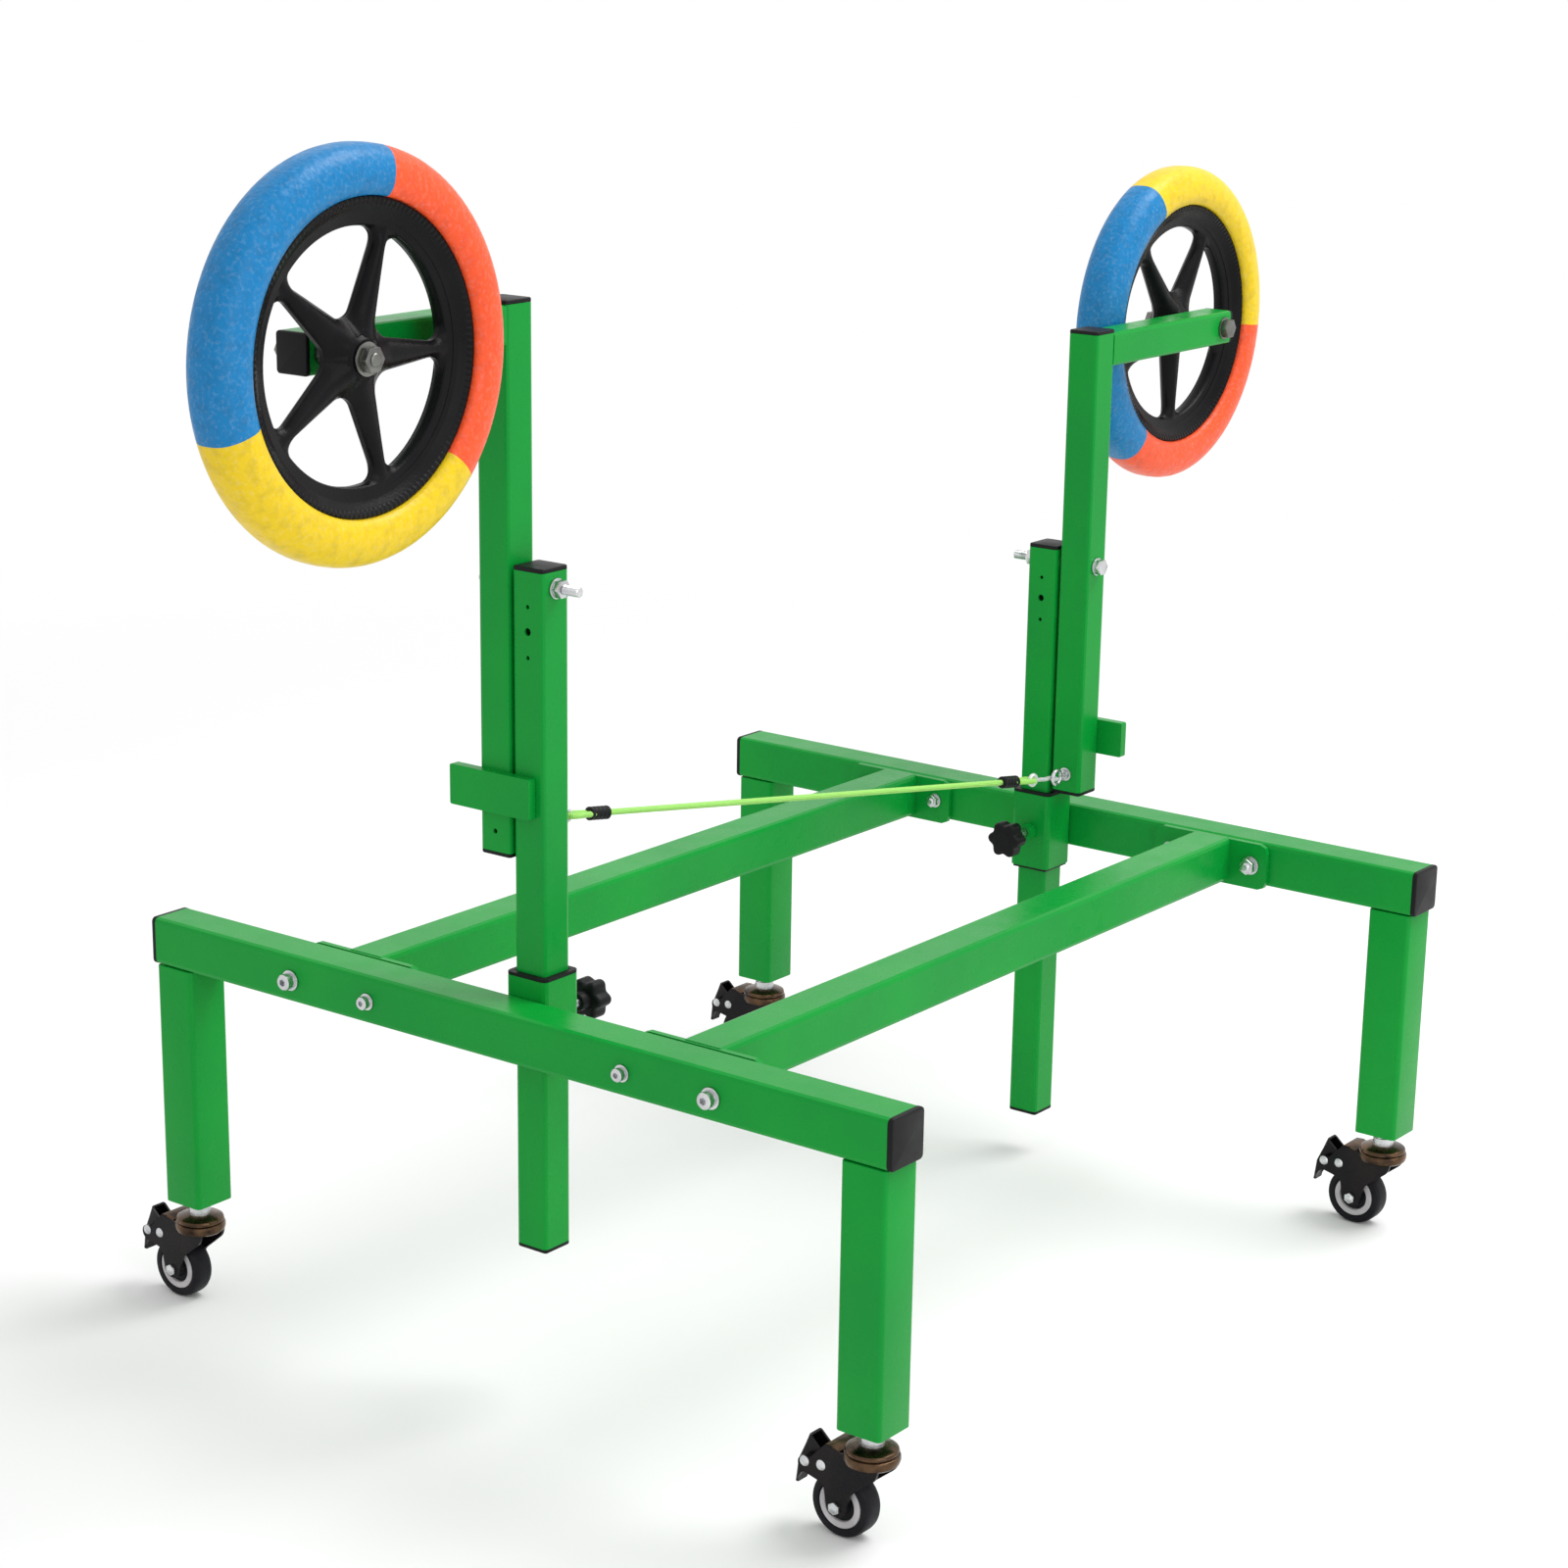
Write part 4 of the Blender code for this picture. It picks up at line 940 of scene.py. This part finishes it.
for node, owner in frame["nodes"].items():
    for slot in owner.material_slots:
        if node.endswith(("crossbeam", "rail", "post", "_arm", "sleeve")):
            slot.material = powderGreen
        elif node.endswith("bushing"):
            slot.material = mouldedBlack

capForm = {
    "beam": 0.004,  # corner radius, and how thick it is outside the tube
    "slide": 0.003,
    "crown": 0.0012,
    "beamOver": 0.035,  # wider caps close the larger tube
}


def makeCaps():
    for name in sorted(frame["nodes"]):
        if not name.endswith("_cap"):
            continue
        low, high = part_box(name)
        size = high - low
        k = min(range(3), key=lambda i: size[i])
        width = max(size)
        beam = width > capForm["beamOver"]
        thick = capForm["beam"] if beam else capForm["slide"]
        outward = 1 if (name.endswith(("right_beam_cap", "top_cap")) or name == "far_bracket_cap") else -1
        span = [width, width, width]
        span[k] = thick
        centre = (low + high) / 2
        centre[k] = (high[k] - thick / 2) if outward > 0 else (low[k] + thick / 2)
        shape = box(span, thick, "xyz"[k], rim=0)
        edges = [e for e in shape.edges if all((v.co[k] * outward) > 0 for v in e.verts) and
                 abs(e.verts[0].co[k] - e.verts[1].co[k]) < 1e-6]
        bevelled(shape, edges, capForm["crown"], 3)
        body = "frame" if beam else f"{name.split('_')[0]}_{'post' if '_post_' in name else 'arm'}"
        label = "".join(word.title() if i else word for i, word in enumerate(name.split("_")))
        addPiece(label, shape, mouldedBlack, body, [name], at(*centre))


makeCaps()

# Clamp knobs

knobForm = {
    "radius": 0.0154,
    "lobes": 6,
    "lobe": 0.0015,
    "hollow": 1.4,  # hollows' depth over the lobes' height
    "length": 0.016,
    "reach": 0.029,  # sleeve's face to the knob's inner face
    "round": 0.0028,
    "dish": (0.0070, 0.0085, 0.0004, 0.0002),  # radii, depth below the face, height above it
    "neck": 0.008,
    "neckRadii": (0.0070, 0.0086),
    "neckInside": 0.002,
    "neckRound": 0.0006,
    "stud": (0.004, -0.004, 0.001),  # radius, start, length inside the neck
}


def makeKnobs():
    for unit in units:
        place = unitAt(unit, f"{unit}_knob_turn") @ alongY
        body = f"{unit}_clamp_knob"
        k = knobForm
        outline = []
        count = k["lobes"] * 16
        for i in range(count):
            angle = 2 * pi * i / count
            wave = cos(k["lobes"] * angle)
            radius = k["radius"] + k["lobe"] * (wave if wave > 0 else wave * k["hollow"])
            outline.append((radius * cos(angle), radius * sin(angle)))
        head = moved(plate(outline, k["length"]), lift(k["reach"] + k["length"] / 2))
        face, neckStart = k["reach"] + k["length"], k["reach"] - k["neck"]
        dishInner, dishOuter, depth, rise = k["dish"]
        dish = turned([(0, face + rise), (dishOuter, face + rise), (dishInner, face - depth),
                       (0, face - depth)], 32)
        low, high = k["neckRadii"]
        neckEnd = k["reach"] + k["neckInside"]
        neck = turned([(0, neckEnd), (high, neckEnd), (low, neckStart), (0, neckStart)], 32)
        whole = together(softened(head, k["round"], 4, 60), softened(neck, k["neckRound"]), dish)
        addPiece(f"{unit}StarKnob", whole, mouldedBlack, body, [body], place)
        radius, start, inside = k["stud"]
        stud = rod(radius, start, neckStart + inside, 20)
        addPiece(f"{unit}KnobStud", stud, brightZinc, body, place=place)


makeKnobs()
print("caps and knobs made")

# Legs and braked casters, measured from the foot of each leg

casterForm = {
    "height": 0.092,
    "legSize": 0.040,
    "legCorner": 0.004,
    "legRim": 0.0006,
    "wheelRadius": 0.026,
    "trail": 0.022,
    "collar": (0.0098, 0.0052, -0.0027),  # hexagon at its top: radius, height, middle
    "plateOut": 0.0141,
    "plateThick": 0.0025,
    "leverOut": 0.0078,
    "leverThick": 0.002,
    "leverFold": 0.0022,
    "rivets": ((-0.051, -0.037), (-0.036, -0.036)),  # lever's pivot and its stop
    "rivetHead": (0.0042, 0.0017),  # radius, height
    "rivetShank": 0.0021,
    "axleHead": (0.0052, 0.0030),
    "axleDome": (0.0032, 0.0014),
    "axleShank": 0.0031,
    "kingpinHead": (0.0066, 0.0030),
    "kingpinBottom": -0.0274,
    "bareEdge": ((-0.0455, -0.0330), -0.0320),  # painted highlight along the fork's edge over the lever: its X limits, lowest Z
    "crownBottom": -0.0240,
}
# Profiles of radius and height; outlines of X, Z and corner radius in the fork's plane
collarProfile = ((0, -0.0050), (0.0087, -0.0050), (0.0093, -0.0056), (0.0093, -0.0126), (0, -0.0126))
cupProfile = ((0, -0.0126), (0.0100, -0.0126), (0.0122, -0.0132), (0.0178, -0.0142), (0.0196, -0.0152),
              (0.0203, -0.0168), (0.0198, -0.0187), (0, -0.0187))
raceProfile = ((0, -0.0190), (0.0196, -0.0190), (0.0208, -0.0197), (0.0215, -0.0213), (0.0214, -0.0238),
               (0.0206, -0.0262), (0.0190, -0.0275), (0, -0.0275))
treadProfile = ((0.0186, 0.0076), (0.0196, 0.0090), (0.0225, 0.0092), (0.0246, 0.0086), (0.0256, 0.0070),
                (0.0260, 0.0045))
ringProfile = ((0.0126, 0.0060), (0.0130, 0.0084), (0.0136, 0.0090), (0.0178, 0.0090), (0.0184, 0.0084),
               (0.0186, 0.0060))
hubProfile = ((0.0036, 0.0112), (0.0068, 0.0112), (0.0076, 0.0104), (0.0084, 0.0074), (0.0124, 0.0070),
              (0.0127, 0.0050))
forkOutline = ((0.016, -0.0225, 0.002), (0.013, -0.034, 0.012), (-0.009, -0.052, 0.012),
               (-0.0146, -0.0734, 0.0074), (-0.0294, -0.0734, 0.0074), (-0.0335, -0.050, 0.006),
               (-0.0560, -0.0445, 0.0065), (-0.0580, -0.0330, 0.0060), (-0.0460, -0.0326, 0.002))
forkWeb = ((-0.0326, -0.0181), (-0.0262, -0.0178), (-0.0200, -0.0205))
leverBack = ((-0.0643, -0.0604), (-0.0619, -0.0410), (-0.0559, -0.0274), (-0.0521, -0.0180))
leverFront = ((-0.0416, -0.0274, 0.003), (-0.0430, -0.0405, 0.004), (-0.0581, -0.0507, 0.006))


def makeLeg(label, node, place):
    c = casterForm
    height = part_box(node)[1].z - c["height"]
    leg = moved(box((c["legSize"], c["legSize"], height), c["legCorner"], "z", c["legRim"]), lift(height / 2))
    addPiece(f"{label}LegTube", leg, powderGreen, "frame", [node], place)
    nut = moved(hexagon(*c["collar"][:2]), lift(c["collar"][2]))
    collar = together(nut, turned(collarProfile, 36))
    addPiece(f"{label}CasterCollar", collar, brightZinc, "frame", place=place)
    addPiece(f"{label}CasterCup", turned(cupProfile, 48), casterBronze, "frame", place=place)


# Bent sheet: two flat cheeks, with strips between them along some of the outline
def folded(outline, across, out, thick, fold=0.0015):
    shape = bmesh.new()
    sides = [[shape.verts.new((u, y, v)) for u, v in outline] for y in (-out, out)]
    for verts in sides:
        shape.faces.new(verts)
    bent = []
    for i in across:
        shape.faces.new((sides[0][i], sides[0][i + 1], sides[1][i + 1], sides[1][i]))
        bent += [shape.edges.get((verts[i], verts[i + 1])) for verts in sides]
    cheek = max(facedOut(shape).faces, key=lambda face: face.calc_center_median().y)
    if cheek.normal.y < 0:
        bmesh.ops.reverse_faces(shape, faces=shape.faces)
    bevelled(shape, bent, fold, 3)
    bmesh.ops.solidify(shape, geom=shape.faces[:], thickness=thick)
    return facedOut(shape)


# A fork's plates are dark and its crown is bronze; the bent sheet's faces that are not turned sideways and lie
# above the crown keep the bronze finish, a painted highlight, and the faces along the edge over the brake lever
# take a pale metal finish, also a painted highlight
def markFork(shape):
    (least, most), lowest = casterForm["bareEdge"]
    # Faces turned sideways, and all faces below the crown, take the dark finish; the others keep the bronze
    # finish, a painted highlight on the sheet's upper faces
    for face in shape.faces:
        spot, aside = face.calc_center_median(), abs(face.normal.y)
        # Faces along the edge over the brake lever take the pale metal finish: a painted highlight
        if aside < 0.3 and least < spot.x < most and spot.z > lowest:
            face.material_index = 2
        elif aside > 0.5 or spot.z < casterForm["crownBottom"]:
            face.material_index = 1
    return shape


def domeHead(radius, height):
    shares = ((0, 1), (0.45, 0.92), (0.8, 0.55), (1, 0), (0, 0))
    return turned([(radius * out, height * rise) for out, rise in shares], 24)


def makeFork(label, node, place):
    c = casterForm
    body, out = f"{node}_caster_fork", c["plateOut"]
    cheekLine = roundedOutline(forkOutline, 5)
    outline = cheekLine + [Vector(point) for point in forkWeb]
    sheet = markFork(folded(outline, range(len(cheekLine), len(outline) - 1), out, c["plateThick"]))
    addPiece(f"{label}CasterFork", together(sheet, turned(raceProfile, 56)), casterBronze, body,
             [body], place, others=(casterBlack, cutEdge))
    across = about("X", pi / 2)
    axle = (-c["trail"], c["wheelRadius"] - c["height"])
    pins = []
    for u, v in c["rivets"]:
        for side in (-1, 1):
            pins.append(moved(domeHead(*c["rivetHead"]), at(u, side * out, v) @ about("X", -side * pi / 2)))
        pins.append(moved(rod(c["rivetShank"], -out, out, 16), at(u, 0, v) @ across))
    for side in (-1, 1):
        domeRadius, domeHeight = c["axleDome"]
        bolt = together(hexagon(*c["axleHead"]), moved(domeHead(domeRadius, domeHeight), lift(domeHeight)))
        reach = side * (out + c["axleHead"][1] / 2)
        pins.append(moved(bolt, at(axle[0], reach, axle[1]) @ about("X", -side * pi / 2)))
    pins.append(moved(rod(c["axleShank"], -out, out, 20), at(axle[0], 0, axle[1]) @ across))
    pins.append(moved(domeHead(*c["kingpinHead"]), lift(c["kingpinBottom"]) @ about("X", pi)))
    addPiece(f"{label}CasterRivets", together(*pins), brightZinc, body, place=place)


def makeCasterWheel(label, node, place):
    c = casterForm
    body = f"{node}_caster_wheel"
    place = place @ at(-c["trail"], 0, c["wheelRadius"] - c["height"]) @ about("X", pi / 2)
    for part, profile, finish in (("Tread", treadProfile, casterRubber), ("Ring", ringProfile, casterRing),
                                  ("Hub", hubProfile, casterRubber)):
        shape = turned(mirrored(profile), 64, closed=True)
        nodes = [body] if part == "Tread" else ()
        addPiece(f"{label}Caster{part}", shape, finish, body, nodes, place)


def makeLever(label, node, place):
    c = casterForm
    body = f"{node}_brake_lever"
    corners = [(*leverBack[-2], 0), (*leverBack[-1], 0), *leverFront, (*leverBack[0], 0)]
    back = [Vector(point) for point in leverBack]
    front = roundedOutline(corners, 5)[2:-1]
    shape = folded(back + front, range(len(back) - 1), c["leverOut"], c["leverThick"], c["leverFold"])
    addPiece(f"{label}BrakeLever", shape, casterBlack, body, [body], place)


def makeCasters():
    for unit in units:
        for hand in hands:
            label, node = f"{unit}{hand.title()}", f"{unit}_{hand}"
            pivot = joints[f"{node}_swivel"]["pos_m"]
            place = at(pivot[0], pivot[1], casterForm["height"])
            makeLeg(label, f"{node}_leg", place)
            for make in (makeFork, makeCasterWheel, makeLever):
                make(label, node, place)


makeCasters()
print("legs and casters made")

# Room, light and floor

studio = {
    "floorSize": 60.0,
    "worldLevel": 0.80,
    "target": (0, 0, 0.45),  # what both lamps point at
    "key": {"power": 125.0, "size": 2.4, "place": (1.4, 1.6, 4.2)},
    "fill": {"power": 34.0, "size": 3.0, "place": (4.2, -1.2, 1.8)},
    "fade": (1.3, 2.9),  # distances between which the floor turns into the white room
    "floorColours": ((0.86, 0.86, 0.86), (0.89, 0.89, 0.89)),
}


def pointedLamp(name, power, size, place):
    data = bpy.data.lights.new(name, "AREA")
    data.energy = power
    data.size = size
    lamp = bpy.data.objects.new(name, data)
    lamp.location = place
    lamp.rotation_euler = (Vector(studio["target"]) - Vector(place)).to_track_quat("-Z", "Y").to_euler()
    scene.collection.objects.link(lamp)


# 1 for rays that the camera, a reflection or glass sees, and 0 for the rest
def seenRay(tree):
    path = tree.nodes.new("ShaderNodeLightPath")
    value = path.outputs["Is Camera Ray"]
    for ray in ("Is Glossy Ray", "Is Transmission Ray"):
        larger = tree.nodes.new("ShaderNodeMath")
        larger.operation = "MAXIMUM"
        tree.links.new(value, larger.inputs[0])
        tree.links.new(path.outputs[ray], larger.inputs[1])
        value = larger.outputs[0]
    return value


def makeWorld():
    world = bpy.data.worlds.new("paleRoom")
    scene.world = world
    world.use_nodes = True
    tree = world.node_tree
    tree.nodes.clear()
    mix = tree.nodes.new("ShaderNodeMixShader")
    tree.links.new(seenRay(tree), mix.inputs[0])
    for socket, strength in ((mix.inputs[1], studio["worldLevel"]), (mix.inputs[2], 1.0)):
        light = tree.nodes.new("ShaderNodeBackground")
        light.inputs["Color"].default_value = (1, 1, 1, 1)
        light.inputs["Strength"].default_value = strength
        tree.links.new(light.outputs[0], socket)
    out = tree.nodes.new("ShaderNodeOutputWorld")
    tree.links.new(mix.outputs[0], out.inputs["Surface"])


def makeFloor():
    shape = bmesh.new()
    bmesh.ops.create_grid(shape, x_segments=1, y_segments=1, size=studio["floorSize"])
    made = Finish("paleFloor", (0.95, 0.95, 0.95), 0.9)
    made.colour(made.mix(made.noise(2.0), *studio["floorColours"]))
    away = made.node("ShaderNodeVectorMath", operation="LENGTH")
    made.link(made.place, away.inputs[0])
    away = made.spread(away.outputs["Value"], 0.0, 1.0, *studio["fade"])
    white = made.node("ShaderNodeEmission")
    join = made.node("ShaderNodeMixShader")
    made.link(made.math("MULTIPLY", away, seenRay(made.tree)), join.inputs[0])
    made.link(made.shader.outputs[0], join.inputs[1])
    made.link(white.outputs[0], join.inputs[2])
    made.link(join.outputs[0], made.tree.nodes["Material Output"].inputs["Surface"])
    floor = meshObject("paleFloor", shape, made.material)


makeWorld()
makeFloor()
for lampName in ("key", "fill"):
    pointedLamp(f"{lampName}Lamp", **studio[lampName])
scene.view_settings.view_transform = "Standard"
print("room made")
